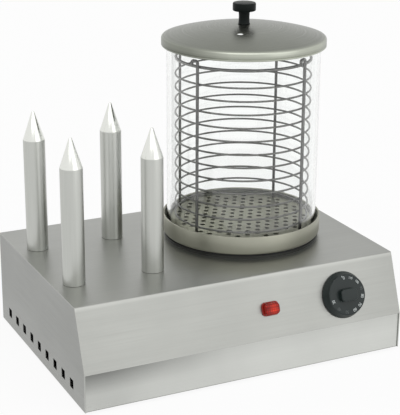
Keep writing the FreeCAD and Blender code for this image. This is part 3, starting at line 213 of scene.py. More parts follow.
def objectPoint(tree, scale, offset=(0, 0, 0)):
    # Object coordinates in metres, scaled and then moved
    coords = addNode(tree, "ShaderNodeTexCoord")
    mapping = addNode(tree, "ShaderNodeMapping")
    mapping.inputs["Location"].default_value = offset
    mapping.inputs["Scale"].default_value = scale
    tree.links.new(coords.outputs["Object"], mapping.inputs["Vector"])
    return mapping.outputs["Vector"]


def objectAxis(tree, axis):
    # One of the object's own coordinates in metres: "X", "Y" or "Z"
    coords = addNode(tree, "ShaderNodeTexCoord")
    split = addNode(tree, "ShaderNodeSeparateXYZ")
    tree.links.new(coords.outputs["Object"], split.inputs["Vector"])
    return split.outputs[axis]


def noiseOf(tree, scale, detail=3, rough=0.55):
    # Noise with a number of waves per metre along X, Y and Z
    noise = addNode(tree, "ShaderNodeTexNoise")
    noise.inputs["Scale"].default_value = 1
    noise.inputs["Detail"].default_value = detail
    noise.inputs["Roughness"].default_value = rough
    tree.links.new(objectPoint(tree, scale), noise.inputs["Vector"])
    return noise.outputs["Fac"]


def ranged(tree, value, low, high, fromLow=0.25, fromHigh=0.75):
    # A value's range, by default the middle half of a noise, stretched from low to high
    span = addNode(tree, "ShaderNodeMapRange")
    span.inputs["From Min"].default_value = fromLow
    span.inputs["From Max"].default_value = fromHigh
    span.inputs["To Min"].default_value = low
    span.inputs["To Max"].default_value = high
    tree.links.new(value, span.inputs["Value"])
    return span.outputs["Result"]


def combined(tree, operation, first, second):
    # The result of one operation on two values; the second is a number or a node's output
    both = addNode(tree, "ShaderNodeMath", operation=operation)
    tree.links.new(first, both.inputs[0])
    if isinstance(second, float):
        both.inputs[1].default_value = second
    else:
        tree.links.new(second, both.inputs[1])
    return both.outputs[0]


def mixed(tree, factor, first, second):
    # A mix of two colours, each a tuple or a node's output
    mix = addNode(tree, "ShaderNodeMix", data_type="RGBA")
    for socket, colour in ((mix.inputs[6], first), (mix.inputs[7], second)):
        if isinstance(colour, tuple):
            socket.default_value = (*colour, 1)
        else:
            tree.links.new(colour, socket)
    tree.links.new(factor, mix.inputs[0])
    return mix.outputs[2]


def shade(colour, factor):
    return tuple(min(1, channel * factor) for channel in colour)


def withPaintedLight(tree, colour, paintedLight):
    # Painted shade and painted highlight: darker or lighter stretches. Each is a factor and the
    # ramps, as (axis, from, to) in metres, whose product says how far the factor counts
    for factor, *ramps in paintedLight:
        weight = None
        for axis, start, end in ramps:
            ramp = ranged(tree, objectAxis(tree, axis), 0, 1, start, end)
            weight = ramp if weight is None else combined(tree, "MULTIPLY", weight, ramp)
        tone = addNode(tree, "ShaderNodeMix", data_type="RGBA", blend_type="MULTIPLY")
        tone.inputs[0].default_value = 1
        tree.links.new(colour, tone.inputs[6])
        tree.links.new(ranged(tree, weight, 1, factor, 0, 1), tone.inputs[7])
        colour = tone.outputs[2]
    return colour


def bumped(tree, shader, value, strength, distance):
    bump = addNode(tree, "ShaderNodeBump")
    bump.inputs["Strength"].default_value = strength
    bump.inputs["Distance"].default_value = distance * mm
    tree.links.new(value, bump.inputs["Height"])
    tree.links.new(bump.outputs["Normal"], shader.inputs["Normal"])


# Finishes that several pieces share

brushing = {"across": 900, "along": 9, "detail": 4, "grain": 0.6, "clouds": 9,
            "tint": 0.06, "streak": 0.35, "rough": (0.3, 0.42), "bump": 0.12, "relief": 0.2}
turning = {"pitch": 700, "detail": 4, "clouds": 14,
           "tint": 0.08, "streak": 0.4, "rough": (0.25, 0.4), "bump": 0.15, "relief": 0.2}
speckling = {"specks": 120, "detail": 4, "tint": 0.1, "rough": (0.85, 1.2)}
moulding = {"specks": 1500, "detail": 2, "blush": 40, "tint": 0.12, "rough": (0.9, 1.15),
            "relief": 0.1}


def linedMetal(tree, shader, colour, lines, work, rough, paintedLight):
    # Sheet metal with fine lines over broad clouds
    clouds = noiseOf(tree, (work["clouds"],) * 3)
    light, dark = shade(colour, 1 + work["tint"]), shade(colour, 1 - work["tint"])
    base = mixed(tree, ranged(tree, clouds, 0, 1), dark, light)
    fine = mixed(tree, ranged(tree, lines, 0, work["streak"]), base, dark)
    # The stretches multiply painted shade and painted highlight into the colour
    tree.links.new(withPaintedLight(tree, fine, paintedLight), shader.inputs["Base Color"])
    shader.inputs["Metallic"].default_value = 1
    tree.links.new(ranged(tree, lines, *rough), shader.inputs["Roughness"])
    bumped(tree, shader, lines, work["bump"], work["relief"])


def brushedMetal(name, colour, along="X", paintedLight=()):
    # Sheet metal brushed along one axis
    material, tree, shader = newMaterial(name)
    scale = [brushing["along"] if axis == along else brushing["across"] for axis in "XYZ"]
    lines = noiseOf(tree, scale, brushing["detail"], brushing["grain"])
    linedMetal(tree, shader, colour, lines, brushing, brushing["rough"], paintedLight)
    return material


def turnedMetal(name, colour, rough=turning["rough"], paintedLight=()):
    # Metal polished on a lathe: fine circles about the pan's axis
    material, tree, shader = newMaterial(name)
    distance = addNode(tree, "ShaderNodeVectorMath", operation="LENGTH")
    tree.links.new(objectPoint(tree, (1, 1, 0), -potAxis), distance.inputs[0])
    circles = addNode(tree, "ShaderNodeTexNoise", noise_dimensions="1D")
    circles.inputs["Scale"].default_value = turning["pitch"]
    circles.inputs["Detail"].default_value = turning["detail"]
    tree.links.new(distance.outputs["Value"], circles.inputs["W"])
    linedMetal(tree, shader, colour, circles.outputs["Fac"], turning, rough, paintedLight)
    return material


def plainMetal(name, colour, rough):
    # Wire, tube and hardware with faint specks
    material, tree, shader = newMaterial(name)
    specks = noiseOf(tree, (speckling["specks"],) * 3, speckling["detail"])
    dark = shade(colour, 1 - speckling["tint"])
    tree.links.new(mixed(tree, ranged(tree, specks, 0, 1), colour, dark),
                   shader.inputs["Base Color"])
    low, high = speckling["rough"]
    tree.links.new(ranged(tree, specks, rough * low, rough * high), shader.inputs["Roughness"])
    shader.inputs["Metallic"].default_value = 1
    return material


def mouldedPlastic(name, colour, rough, grain=0.08, gloss=0.5):
    # Plastic or rubber with a fine moulded grain
    material, tree, shader = newMaterial(name)
    shader.inputs["Specular IOR Level"].default_value = gloss
    specks = noiseOf(tree, (moulding["specks"],) * 3, moulding["detail"])
    blush = noiseOf(tree, (moulding["blush"],) * 3)
    dark = shade(colour, 1 - moulding["tint"])
    tree.links.new(mixed(tree, ranged(tree, blush, 0, 1), colour, dark),
                   shader.inputs["Base Color"])
    low, high = moulding["rough"]
    tree.links.new(ranged(tree, specks, rough * low, rough * high), shader.inputs["Roughness"])
    bumped(tree, shader, specks, grain, moulding["relief"])
    return material


colours = {
    "cover": (0.355, 0.36, 0.34),
    # The strip's steel is paler than the cover's, a painted reflection of the bright floor
    "strip": (0.63, 0.64, 0.61),
    # The side panels' steel is darker than the cover's: painted shade
    "side": (0.295, 0.30, 0.285),
    "lid": (0.185, 0.193, 0.166),
    "pan": (0.355, 0.355, 0.295),
    # A paler copy of the pan's steel for its inward and upward faces: painted light
    "panPaintedLight": (0.72, 0.72, 0.66),
    # The seat ring's near-black colour is a painted shadow under the pan's band
    "seat": (0.06, 0.062, 0.058),
    "plate": (0.262, 0.262, 0.192),
    "rings": (0.16, 0.16, 0.15),
    "posts": (0.11, 0.11, 0.105),
    "zinc": (0.55, 0.55, 0.53),
    "heater": (0.28, 0.26, 0.24),
    "copper": (0.75, 0.42, 0.26),
    "aluminium": (0.68, 0.68, 0.68),
    "knob": (0.006, 0.009, 0.008),
    "dial": (0.010, 0.017, 0.016),
    "gland": (0.03, 0.03, 0.03),
    "rubber": (0.02, 0.02, 0.02),
    "ceramic": (0.75, 0.73, 0.66),
    "fibre": (0.62, 0.5, 0.34),
    "print": (0.62, 0.66, 0.65),
    "printInShade": (0.085, 0.095, 0.093),
    "lampFrame": (0.3, 0.02, 0.014),
}
lidRim = ("Z", 0.3985, 0.3965)
paintedShading = {
    # Painted highlight along the front bend, painted shade towards the slope's right end
    "cover": [(1.2, ("Z", 0.1225, 0.1262)), (0.84, ("Z", 0.1273, 0.1279)),
              (0.92, ("X", 0.13, 0.22))],
    # Painted shade: the strip is darker under the fold, most of all at its left end,
    # and along its lower edge
    "strip": [(0.9, ("X", 0.0, -0.2)), (0.9, ("Z", 0.03, 0.052)),
              (0.45, ("Z", 0.024, 0.052), ("X", -0.03, -0.19)), (0.6, ("Z", 0.0054, 0.0044))],
    # Painted highlight on the side panels' front edges; painted light towards the bottom
    "side": [(1.5, ("Y", -0.1592, -0.1602)), (1.08, ("Z", 0.06, 0.02))],
    # Painted highlight: the lid's rim is brighter than its brushed top. Painted shade darkens
    # the rim towards both sides and in a band across its middle
    "lid": [(2.5, lidRim), (0.5, lidRim, ("X", 0.015, -0.02)), (0.46, lidRim, ("X", 0.145, 0.18)),
            (0.85, ("Z", 0.3925, 0.3915), ("Z", 0.3885, 0.3895))],
    # Painted shade towards the plate's rear and front, and painted light towards its left
    "plate": [(0.7, ("Y", 0.05, 0.09)), (0.7, ("Y", -0.01, -0.05)), (1.25, ("X", 0.05, 0.0))],
}

sheetSteel = brushedMetal("sheetSteel", colours["cover"], paintedLight=paintedShading["cover"])
stripPaintedLight = brushedMetal("stripPaintedLight", colours["strip"], paintedLight=paintedShading["strip"])
rearSteel = brushedMetal("rearSteel", colours["cover"])
sideSteel = brushedMetal("sideSteel", colours["side"], "Y", paintedShading["side"])
lidSteel = turnedMetal("lidSteel", colours["lid"], paintedLight=paintedShading["lid"])
panSteel = turnedMetal("panSteel", colours["pan"], (0.34, 0.48))
panPaintedLight = turnedMetal("panPaintedLight", colours["panPaintedLight"], (0.5, 0.6))
seatPaintedShadow = turnedMetal("seatPaintedShadow", colours["seat"])
plateSteel = turnedMetal("plateSteel", colours["plate"], (0.3, 0.45), paintedShading["plate"])
ringWire = plainMetal("ringWire", colours["rings"], 0.3)
postWire = plainMetal("postWire", colours["posts"], 0.3)
zincSteel = plainMetal("zincSteel", colours["zinc"], 0.35)
darkSteel = plainMetal("darkSteel", colours["heater"], 0.5)
copperTube = plainMetal("copperTube", colours["copper"], 0.35)
plainAluminium = plainMetal("plainAluminium", colours["aluminium"], 0.4)
knobPlastic = mouldedPlastic("knobPlastic", colours["knob"], 0.4, gloss=0.13)
dialPlastic = mouldedPlastic("dialPlastic", colours["dial"], 0.36, gloss=0.38)
glandPlastic = mouldedPlastic("glandPlastic", colours["gland"], 0.5, 0.15)
blackRubber = mouldedPlastic("blackRubber", colours["rubber"], 0.75, 0.2)
palePlastic = mouldedPlastic("palePlastic", colours["ceramic"], 0.5)
fibreBoard = mouldedPlastic("fibreBoard", colours["fibre"], 0.8, 0.3)
whitePrint = mouldedPlastic("whitePrint", colours["print"], 0.5, 0.02)
printInShade = mouldedPlastic("printInShade", colours["printInShade"], 0.5, 0.02)
lampFrame = mouldedPlastic("lampFrame", colours["lampFrame"], 0.35, gloss=0.3)
print("finishes ready")


# Housing: merged copies of the sheets with softened edges

housing = {
    "coverSheet": ("housing_cover", sheetSteel, 0.25),
    "leftSheet": ("side_panel_left", sideSteel, 0.2),
    "rightSheet": ("side_panel_right", sideSteel, 0.2),
    "rearSheet": ("rear_panel", rearSteel, 0.2),
    "floorSheet": ("base_tray", stripPaintedLight, 0.2),
}
for name, (node, material, bevel) in housing.items():
    cadCopy(name, node, "housing", material, bevel)
print("housing made")


# Bun spikes: hollow satin tubes with smoother turned tips, whose brighter colour
# is a painted highlight

spike = {"radius": 14, "shoulder": 148, "height": 185, "tip": 1.6, "steps": 72,
         "stem": 8, "stemDrop": 18, "bore": 5.05, "boreTop": 114.3,
         # The tips' bright colour is a painted highlight
         "body": (0.54, 0.55, 0.52), "shade": (0.43, 0.44, 0.415), "bright": (0.76, 0.77, 0.73),
         "grain": (700, 700, 12), "detail": 4, "streak": 0.3, "blend": 0.4,
         "rough": (0.3, 0.42), "tipRough": 0.2, "bump": 0.1, "relief": 0.2}
spikePlaces = {"rear_left": (-192.5, 79), "rear_right": (-87.5, 79),
               "front_left": (-192.5, -55), "front_right": (-87.5, -55)}


def makeSpikeLook():
    material, tree, shader = newMaterial("spikeAluminium")
    shoulder, blend = housingTop + spike["shoulder"], spike["blend"]
    tip = ranged(tree, objectAxis(tree, "Z"), 0, 1,
                 (shoulder - blend) * mm, (shoulder + blend) * mm)
    streaks = noiseOf(tree, spike["grain"], spike["detail"])
    satin = mixed(tree, ranged(tree, streaks, 0, spike["streak"]), spike["body"], spike["shade"])
    # The tip's brighter colour is a painted highlight
    tree.links.new(mixed(tree, tip, satin, spike["bright"]), shader.inputs["Base Color"])
    shader.inputs["Metallic"].default_value = 1
    polish = addNode(tree, "ShaderNodeMix")
    polish.inputs["B"].default_value = spike["tipRough"]
    tree.links.new(tip, polish.inputs["Factor"])
    tree.links.new(ranged(tree, streaks, *spike["rough"]), polish.inputs["A"])
    tree.links.new(polish.outputs["Result"], shader.inputs["Roughness"])
    bumped(tree, shader, streaks, spike["bump"], spike["relief"])
    return material


def makeSpikes():
    material = makeSpikeLook()
    r, stem, bore, tip = spike["radius"], spike["stem"], spike["bore"], spike["tip"]
    foot = housingTop - spike["stemDrop"]
    shoulder = housingTop + spike["shoulder"]
    peak = housingTop + spike["height"]
    boreTop = housingTop + spike["boreTop"]
    profile = [
        (stem, foot), (stem, housingTop), (r - 0.4, housingTop), (r, housingTop + 0.4),
        (r, shoulder - 1), (r - 0.35, shoulder + 0.3),
        (tip + 0.35, peak - 1.2), (tip * 0.55, peak - 0.2), (0, peak),
        (0, boreTop), (bore, boreTop), (bore, foot),
    ]
    for name, (x, y) in spikePlaces.items():
        axis = Vector((x, y + housingMiddle, 0)) * mm
        piece = newPiece("spike_" + name, spun(profile, axis, spike["steps"]), "housing",
                         material, smoothAngle=30)
        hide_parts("bun_spike_" + name)


makeSpikes()
print("spikes made")


# Pan: the collar is its ledge, wall and rolled rim, and the well is sunk into the housing

pan = {"radius": 105.5, "wall": 1.2, "rim": 2.6, "rimHeight": 3, "top": 30, "ledge": 5,
       "well": 92, "wellGap": 0.1, "draft": 4, "depth": 26, "steps": 192}


def makePan():
    r, w, well = pan["radius"], pan["wall"], pan["well"]
    floor = housingTop - pan["depth"]
    ledge = housingTop + pan["ledge"]
    rimTop = housingTop + pan["top"]
    rimFoot = rimTop - pan["rimHeight"]
    lip = r - pan["rim"]
    mouth = well + pan["wellGap"]
    collar = [
        (mouth, ledge), (r - 4, ledge), (r - 2.2, ledge + 0.5), (r - 0.8, ledge + 1.7),
        (r - 0.2, ledge + 3.2), (r, ledge + 5),
        (r, rimTop - 1.1), (r - 0.35, rimTop - 0.3), (r - 1.2, rimTop), (r - 1.8, rimTop - 0.2),
        (lip, rimTop - 1.1), (lip, rimFoot), (r - w, rimFoot - 0.4),
        (r - w, ledge + 4.5), (r - w - 0.9, ledge + w + 0.9), (r - w - 3, ledge + w),
        (mouth, ledge + w),
    ]
    piece = newPiece("panCollar", spun(collar, steps=pan["steps"]), "housing",
                     panSteel, smoothAngle=40)
    # Painted light: the faces that look inwards or up, below the rim, are paler
    piece.data.materials.append(panPaintedLight)
    for face in piece.data.polygons:
        outwards = face.center - Vector((potAxis.x, potAxis.y, face.center.z))
        inward = face.normal.dot(outwards) < 0 or face.normal.z > 0.9
        if inward and face.center.z < rimFoot * mm:
            face.material_index = 1
    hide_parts("water_pan")
    foot = well - pan["draft"]
    bowl = [
        (0, floor), (foot - 3, floor), (foot - 1, floor + 0.8), (foot + 0.4, floor + 3),
        (well, ledge + w), (well - w, ledge + w), (foot - w, floor + w), (0, floor + w),
    ]
    piece = newPiece("panWell", spun(bowl), "housing", panSteel, smoothAngle=40)
    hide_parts("pan_well")


makePan()
print("pan made")


# Glass cylinder

glass = {"outer": 100, "wall": 4, "foot": 134.5, "height": 260, "edge": 1, "steps": 192,
         "colour": (0.99, 1.0, 0.993), "ior": 1.47, "smears": (25, 25, 9), "rough": (0, 0.01)}


def makeGlassLook():
    material, tree, shader = newMaterial("clearGlass")
    shader.inputs["Base Color"].default_value = (*glass["colour"], 1)
    shader.inputs["Transmission Weight"].default_value = 1
    shader.inputs["IOR"].default_value = glass["ior"]
    smears = noiseOf(tree, glass["smears"])
    tree.links.new(ranged(tree, smears, *glass["rough"]), shader.inputs["Roughness"])
    return material


def makeGlass():
    outer, inner = glass["outer"], glass["outer"] - glass["wall"]
    low, high, edge = glass["foot"], glass["foot"] + glass["height"], glass["edge"]
    profile = [
        (inner, low + edge), (inner + edge, low), (outer - edge, low), (outer, low + edge),
        (outer, high - edge), (outer - edge, high), (inner + edge, high), (inner, high - edge),
    ]
    piece = newPiece("glassCylinder", spun(profile, steps=glass["steps"]), "glass",
                     makeGlassLook(), smoothAngle=30)
    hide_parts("glass_cylinder")


makeGlass()
print("glass made")


# Lid with its steam hole, and the knob

lid = {"radius": 107, "level": 386, "skirt": 11, "dome": 15.5, "sheet": 1.2, "steps": 192,
       "smoothAngle": 40,
       "domeRadii": (0, 3, 12, 25, 40, 55, 70, 84, 95, 102),
       "vent": 4.3, "ventPlace": (-26.7, -41), "screwHole": 2.8}
drill = {"length": 40, "level": 8, "sides": 40}
knob = {"stem": 7.2, "stemHeight": 17.2, "cap": 15, "capHeight": 10.8, "level": 412.5,
        "bore": 2.54, "boreDepth": 17, "steps": 64}


def domeHeight(radius):
    # How far the lid's shallow dome stands above its rim
    span, rise = lid["radius"], lid["dome"]
    whole = (span ** 2 + rise ** 2) / (2 * rise)
    return sqrt(whole ** 2 - radius ** 2) - (whole - rise)


def drillHole(piece, centre, radius):
    # Cuts an upright round hole through a piece
    cutter = bmesh.new()
    bmesh.ops.create_cone(cutter, cap_ends=True, segments=drill["sides"],
                          radius1=radius * mm, radius2=radius * mm,
                          depth=drill["length"] * mm, matrix=Matrix.Translation(centre))
    tool = newObject("drill", newMesh("drill", cutter))
    hole = piece.modifiers.new("hole", "BOOLEAN")
    hole.object = tool
    hole.solver = "EXACT"
    applyModifiers(piece)
    bpy.data.objects.remove(tool)


def makeLid():
    r, s, low = lid["radius"], lid["sheet"], lid["level"]
    high = low + lid["skirt"]
    inner, shoulder, corner = r - s, r - 1.6, r - s - 1.5
    outside = [(i, high + domeHeight(i)) for i in lid["domeRadii"]]
    inside = [(i, z - s) for i, z in reversed(outside)]
    profile = [
        *outside,
        (shoulder, high + domeHeight(shoulder) - 0.1), (r - 0.5, high - 0.7), (r, high - 2.2),
        (r, low + 3.6), (r - 0.7, low + 3.1), (r - 0.7, low + 2.6), (r, low + 2.1),
        (r, low + 0.6), (r - 0.6, low), (r - 2, low), (r - 2.6, low + 0.6), (r - 2.6, low + 2.4),
        (inner, low + 3), (inner, high - 3), (corner, high - s + domeHeight(corner) - 0.4),
        *inside,
    ]
    piece = newPiece("lidShell", spun(profile, steps=lid["steps"]), "lid", lidSteel,
                     lid["smoothAngle"])
    top = potAxis + Vector((0, 0, high + drill["level"])) * mm
    drillHole(piece, top + Vector((*lid["ventPlace"], 0)) * mm, lid["vent"])
    drillHole(piece, top, lid["screwHole"])
    piece.data.shade_smooth()
    piece.data.set_sharp_from_angle(angle=radians(lid["smoothAngle"]))
    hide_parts("lid")
    cadCopy("lidRing", "lid_locating_ring", "lid", lidSteel)
    cadCopy("knobWasher", "lid_knob_washer", "lid", zincSteel)
    cadCopy("knobScrew", "lid_knob_screw", "lid", zincSteel)


def makeKnob():
    stem, cap, bore, low = knob["stem"], knob["cap"], knob["bore"], knob["level"]
    neck = low + knob["stemHeight"]
    top = neck + knob["capHeight"]
    boreTop = low + knob["boreDepth"]
    profile = [
        (bore, low), (stem + 0.3, low), (stem + 0.6, low + 0.6), (stem, low + 1.6),
        (stem - 0.3, (low + neck) / 2), (stem, neck - 1.2), (stem + 1.2, neck - 0.1),
        (cap - 1.4, neck), (cap - 0.4, neck + 0.4), (cap, neck + 1.4),
        (cap, top - 1.8), (cap - 0.6, top - 0.5), (cap - 2, top - 0.05),
        (0, top), (0, boreTop), (bore, boreTop),
    ]
    piece = newPiece("lidKnob", spun(profile, steps=knob["steps"]), "lid",
                     knobPlastic, smoothAngle=40)
    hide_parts("lid_knob")


makeLid()
makeKnob()
print("lid made")


# Wire basket and its perforated floor

basket = {"ring": 88.5, "wire": 1.25, "top": 221, "pitch": 17.25, "count": 12,
          "ringSteps": (120, 12),
          "topLevel": 243, "topWire": 2, "post": 2, "postRadius": 91.85,
          "posts": (-65.5, 28, 122.5, -139), "plateTop": 24,
          "hookRise": 8, "hookReach": 9, "hookDrop": 6, "hookBend": 3, "hookSteps": 6}


def postPoints(angle):
    # Straight up from the plate, then bent over to one side and down again
    turn = radians(angle)
    base = potAxis + Vector((sin(turn), -cos(turn), 0)) * basket["postRadius"] * mm
    side = Vector((-cos(turn), -sin(turn), 0))
    up = Vector((0, 0, 1))
    foot = (housingTop + basket["plateTop"]) * mm
    high = (housingTop + basket["topLevel"] + basket["hookRise"]) * mm
    bend, reach = basket["hookBend"] * mm, basket["hookReach"] * mm
    turns = [radians(90) * i / basket["hookSteps"] for i in range(basket["hookSteps"] + 1)]
    return [
        base + up * foot,
        *(base + up * (high - bend + sin(a) * bend) + side * (1 - cos(a)) * bend for a in turns),
        *(base + side * (reach - bend + sin(a) * bend) + up * (high - (1 - cos(a)) * bend)
          for a in turns),
        base + side * reach + up * (high - basket["hookDrop"] * mm),
    ]


def makeBasket():
    bm = bmesh.new()
    for i in range(basket["count"]):
        level = housingTop + basket["top"] - i * basket["pitch"]
        wireRing(bm, basket["ring"], level, basket["wire"], *basket["ringSteps"])
    topRadius = basket["ring"] + basket["wire"] - basket["topWire"]
    topLevel = housingTop + basket["topLevel"]
    wireRing(bm, topRadius, topLevel, basket["topWire"], *basket["ringSteps"])
    bmesh.ops.recalc_face_normals(bm, faces=bm.faces)
    bmesh.ops.translate(bm, verts=bm.verts, vec=potAxis)
    piece = newPiece("basketRings", bm, "basket", ringWire, smoothAngle=60)
    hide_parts("basket_rings")
    bm = bmesh.new()
    for angle in basket["posts"]:
        addMesh(bm, wireMesh("post", postPoints(angle), basket["post"]))
    piece = newPiece("basketPosts", bm, "basket", postWire, smoothAngle=60)
    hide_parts("basket_posts")
    cadCopy("basketFloor", "perforated_plate", "basket", plateSteel)
    cadCopy("basketFloorRim", "plate_rim", "basket", plateSteel)


makeBasket()
print("basket made")


# Thermostat dial: skirt, face, grip, and the printed figures and index

dial = {"radius": 30, "face": 25.5, "gap": 0.6, "recess": 7, "recessRadius": 21,
        "faceHeight": 12.05, "steps": 128,
        "gripLength": 24, "gripWidth": 16, "gripHeight": 6.75,
        "gripCorner": 5.3, "gripCornerSteps": 8, "gripEdge": 1.5, "gripEdgeSteps": 4,
        "index": (1.1, 1.8, 0.16), "indexTurn": -10, "indexInset": 1.2}
figure = {"radius": 21.8, "height": 3.9, "sizePerHeight": 1.4, "longSize": 0.8,
          # The figures 90, 50 and 40 are printed dark, as painted shade
          "depth": 0.08, "spacing": 0.92, "inShade": ("90", "50", "40"),
          "turns": {"0": -5, "110": 21, "100": 49, "90": 76, "80": 103, "70": 133, "60": 159,
                    "50": 190, "40": 222, "30": 254}}


def textMesh(text):
    height = figure["height"] * (figure["longSize"] if len(text) > 2 else 1)
    curve = bpy.data.curves.new("figure", "FONT")
    curve.body = text
    curve.size = height * figure["sizePerHeight"] * mm
    curve.extrude = figure["depth"] * mm
    curve.align_x = "CENTER"
    curve.align_y = "CENTER"
    curve.space_character = figure["spacing"]
    return curveMesh(curve)


def onFace(turn, radius):
    # From the dial's middle to a place on its face, turned clockwise
    level = dial["faceHeight"]
    return (Matrix.Rotation(-radians(turn), 4, "Z")
            @ Matrix.Translation((0, radius * mm, level * mm)))


def makeDialBody():
    r, f, low, high = dial["radius"], dial["face"], dial["gap"], dial["faceHeight"]
    recess, recessTop = dial["recessRadius"], low + dial["recess"]
    profile = [
        (recess, low), (r - 0.5, low), (r, low + 0.5), (r, low + 1.2), (r - 0.4, low + 1.8),
        (f + 0.7, high - 0.6), (f - 0.4, high - 0.1), (f - 1.5, high), (0, high),
        (0, recessTop), (recess, recessTop),
    ]
    bm = spun(profile, Vector((0, 0, 0)), dial["steps"])
    grip = roundedBlock(dial["gripLength"], dial["gripWidth"], high, high + dial["gripHeight"],
                        dial["gripCorner"], dial["gripCornerSteps"],
                        dial["gripEdge"], dial["gripEdgeSteps"])
    addMesh(bm, newMesh("grip", grip))
    putOnSlope(bm, dialSpot)
    piece = newPiece("dial", bm, "dial", dialPlastic, smoothAngle=32)
    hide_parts("thermostat_dial")


def makeDialPrint():
    bm = bmesh.new()
    for text, turn in figure["turns"].items():
        mesh = textMesh(text)
        mesh.transform(onFace(turn, figure["radius"]))
        for face in mesh.polygons:
            # The dark figures are painted shade
            face.material_index = int(text in figure["inShade"])
        addMesh(bm, mesh)
    size = Matrix.Diagonal((*(side * mm for side in dial["index"]), 1))
    spot = onFace(dial["indexTurn"], dial["face"] - dial["indexInset"])
    bmesh.ops.create_cube(bm, size=1, matrix=spot @ size)
    putOnSlope(bm, dialSpot)
    piece = newPiece("dialFigures", bm, "dial", whitePrint, smoothAngle=40)
    piece.data.materials.append(printInShade)


makeDialBody()
makeDialPrint()
print("dial made")


# Pilot lamp: red translucent plastic with a fine square pattern moulded inside and a glow

lamp = {"lens": (19.5, 13.4), "height": 9, "corner": 4, "cornerSteps": 6, "edge": 1.2,
        "edgeSteps": 3, "bezelEdge": 0.4,
        "cells": 330, "cellDepth": (0.1, 0.5), "rough": 0.2, "gloss": 0.25,
        "bright": (0.42, 0.012, 0.005), "deep": (0.12, 0.002, 0.002),
        "glowBright": (1.0, 0.07, 0.012), "glowDeep": (0.45, 0.02, 0.004),
        "bulb": (1.5, -3.5, 1.3), "glow": (1.0, 0.06), "glowReach": (2, 9)}


def makeLensLook():
    material, tree, shader = newMaterial("redLens")
    cells = addNode(tree, "ShaderNodeTexVoronoi", distance="CHEBYCHEV")
    cells.inputs["Scale"].default_value = lamp["cells"]
    cells.inputs["Randomness"].default_value = 0
    point = objectPoint(tree, (1, 1, 1))
    tree.links.new(point, cells.inputs["Vector"])
    depth = ranged(tree, cells.outputs["Distance"], 0, 1, *lamp["cellDepth"])
    tree.links.new(mixed(tree, depth, lamp["bright"], lamp["deep"]), shader.inputs["Base Color"])
    bulb = addNode(tree, "ShaderNodeVectorMath", operation="DISTANCE")
    bulb.inputs[1].default_value = lampSpot + Vector(lamp["bulb"]) * mm
    tree.links.new(point, bulb.inputs[0])
    near, far = lamp["glowReach"]
    glow = ranged(tree, bulb.outputs["Value"], *lamp["glow"], near * mm, far * mm)
    tree.links.new(mixed(tree, depth, lamp["glowBright"], lamp["glowDeep"]),
                   shader.inputs["Emission Color"])
    tree.links.new(glow, shader.inputs["Emission Strength"])
    shader.inputs["Specular IOR Level"].default_value = lamp["gloss"]
    shader.inputs["Roughness"].default_value = lamp["rough"]
    return material


def makeLamp():
    bm = roundedBlock(*lamp["lens"], 0, lamp["height"], lamp["corner"], lamp["cornerSteps"],
                      lamp["edge"], lamp["edgeSteps"])
    putOnSlope(bm, lampSpot)
    piece = newPiece("lampLens", bm, "housing", makeLensLook(), smoothAngle=40)
    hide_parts("pilot_lamp_lens")
    cadCopy("lampBezel", "pilot_lamp_bezel", "housing", lampFrame, lamp["bezelEdge"])


makeLamp()
print("lamp made")


# CAD nodes that stay as they are, each with its own finish

kept = {
    blackRubber: ["foot_front_left", "foot_front_right", "foot_rear_left", "foot_rear_right",
                  "pan_gasket", "gland_seal"],
    zincSteel: ["foot_screws", "foot_nuts", "rear_screws", "spike_nuts", "pan_nuts", "pan_studs",
                "clamp_stud", "clamp_nut", "thermostat_screws", "thermostat_shaft",
                "pilot_lamp_clip", "bulb_clip", "terminal_screws"],
    # The seat ring is coloured as a painted shadow
    seatPaintedShadow: ["pan_seat_ring"],
    darkSteel: ["heating_element", "spike_heater_rear_left", "spike_heater_rear_right",
                "spike_heater_front_left", "spike_heater_front_right"],
    plainAluminium: ["heater_clamp_plate"],
    copperTube: ["sensing_bulb", "capillary"],
    palePlastic: ["safety_limiter", "thermostat_body", "pilot_lamp_body", "terminal_block"],
    fibreBoard: ["spike_washers"],
    glandPlastic: ["gland_body", "gland_cap", "gland_lock_nut"],
}
for material, names in kept.items():
    for name in names:
        slots = nodes[name].data.materials
        if len(slots):
            for i in range(len(slots)):
                slots[i] = material
        else:
            slots.append(material)
print("CAD nodes dressed")


# Camera at the photograph's viewing angle

camera = {"place": (-712.23, -1479.12, 742.43), "turn": -25.941, "down": 18.938, "roll": 0.338,
          "lens": 115.01, "sensor": 36, "reach": 60}


def makeCamera():
    data = bpy.data.cameras.new("camera")
    data.lens = camera["lens"]
    data.sensor_width = camera["sensor"]
    data.sensor_fit = "AUTO"
    data.clip_end = camera["reach"]
    holder = newObject("camera", data)
    holder.matrix_world = (Matrix.Translation(Vector(camera["place"]) * mm)
                           @ Matrix.Rotation(radians(camera["turn"]), 4, "Z")
                           @ Matrix.Rotation(radians(90 - camera["down"]), 4, "X")
                           @ Matrix.Rotation(radians(camera["roll"]), 4, "Z"))
    bpy.context.scene.camera = holder


# Floor, world and lamps. The floor and the world look whiter than the light they give

stage = {"floor": 14.0, "floorColour": (0.95, 0.95, 0.95), "floorShine": 0.9,
         "floorRough": 0.9, "floorGloss": 0.1, "worldLight": 0.62}
lights = {
    "frontSoft": {"from": (0.45, -0.86, 0.34), "strength": 0.35, "spread": 50},
    "keySoft": {"from": (-0.3, -0.5, 0.9), "strength": 0.7, "spread": 60},
}


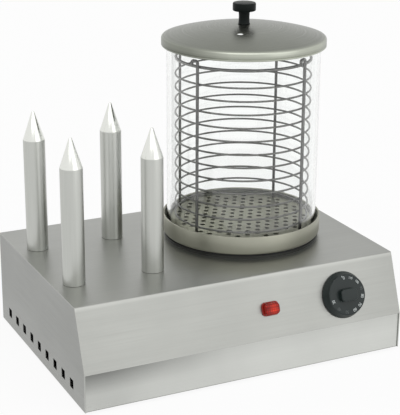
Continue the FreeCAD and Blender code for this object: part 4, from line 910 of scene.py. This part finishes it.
def whiteForEye(tree):
    # 1 for camera, glossy and transmission rays, else 0
    path = addNode(tree, "ShaderNodeLightPath")
    first = combined(tree, "MAXIMUM", path.outputs["Is Camera Ray"], path.outputs["Is Glossy Ray"])
    return combined(tree, "MAXIMUM", first, path.outputs["Is Transmission Ray"])


def blendShaders(tree, factor, first, second, output):
    blend = addNode(tree, "ShaderNodeMixShader")
    tree.links.new(factor, blend.inputs["Fac"])
    tree.links.new(first.outputs[0], blend.inputs[1])
    tree.links.new(second.outputs[0], blend.inputs[2])
    tree.links.new(blend.outputs[0], tree.nodes[output].inputs["Surface"])


def makeFloor():
    bm = bmesh.new()
    bmesh.ops.create_grid(bm, x_segments=1, y_segments=1, size=stage["floor"] / 2)
    floor = newObject("floor", newMesh("floor", bm))
    material, tree, shader = newMaterial("paleFloor")
    shader.inputs["Base Color"].default_value = (*stage["floorColour"], 1)
    shader.inputs["Roughness"].default_value = stage["floorRough"]
    shader.inputs["Specular IOR Level"].default_value = stage["floorGloss"]
    glow = addNode(tree, "ShaderNodeEmission")
    glow.inputs["Strength"].default_value = 1
    factor = combined(tree, "MULTIPLY", whiteForEye(tree), stage["floorShine"])
    blendShaders(tree, factor, shader, glow, "Material Output")
    floor.data.materials.append(material)


def makeWorld():
    world = bpy.data.worlds.new("studio")
    bpy.context.scene.world = world
    world.use_nodes = True
    tree = world.node_tree
    lit = tree.nodes["Background"]
    seen = addNode(tree, "ShaderNodeBackground")
    for background, strength in ((lit, stage["worldLight"]), (seen, 1)):
        background.inputs["Color"].default_value = (1, 1, 1, 1)
        background.inputs["Strength"].default_value = strength
    blendShaders(tree, whiteForEye(tree), lit, seen, "World Output")


def makeLights():
    for name, light in lights.items():
        data = bpy.data.lights.new(name, "SUN")
        data.energy = light["strength"]
        data.angle = radians(light["spread"])
        holder = newObject(name, data)
        holder.rotation_euler = Vector(light["from"]).to_track_quat("Z", "Y").to_euler()


makeCamera()
makeFloor()
makeWorld()
makeLights()
bpy.context.scene.view_settings.view_transform = "Standard"
print("camera and stage ready")
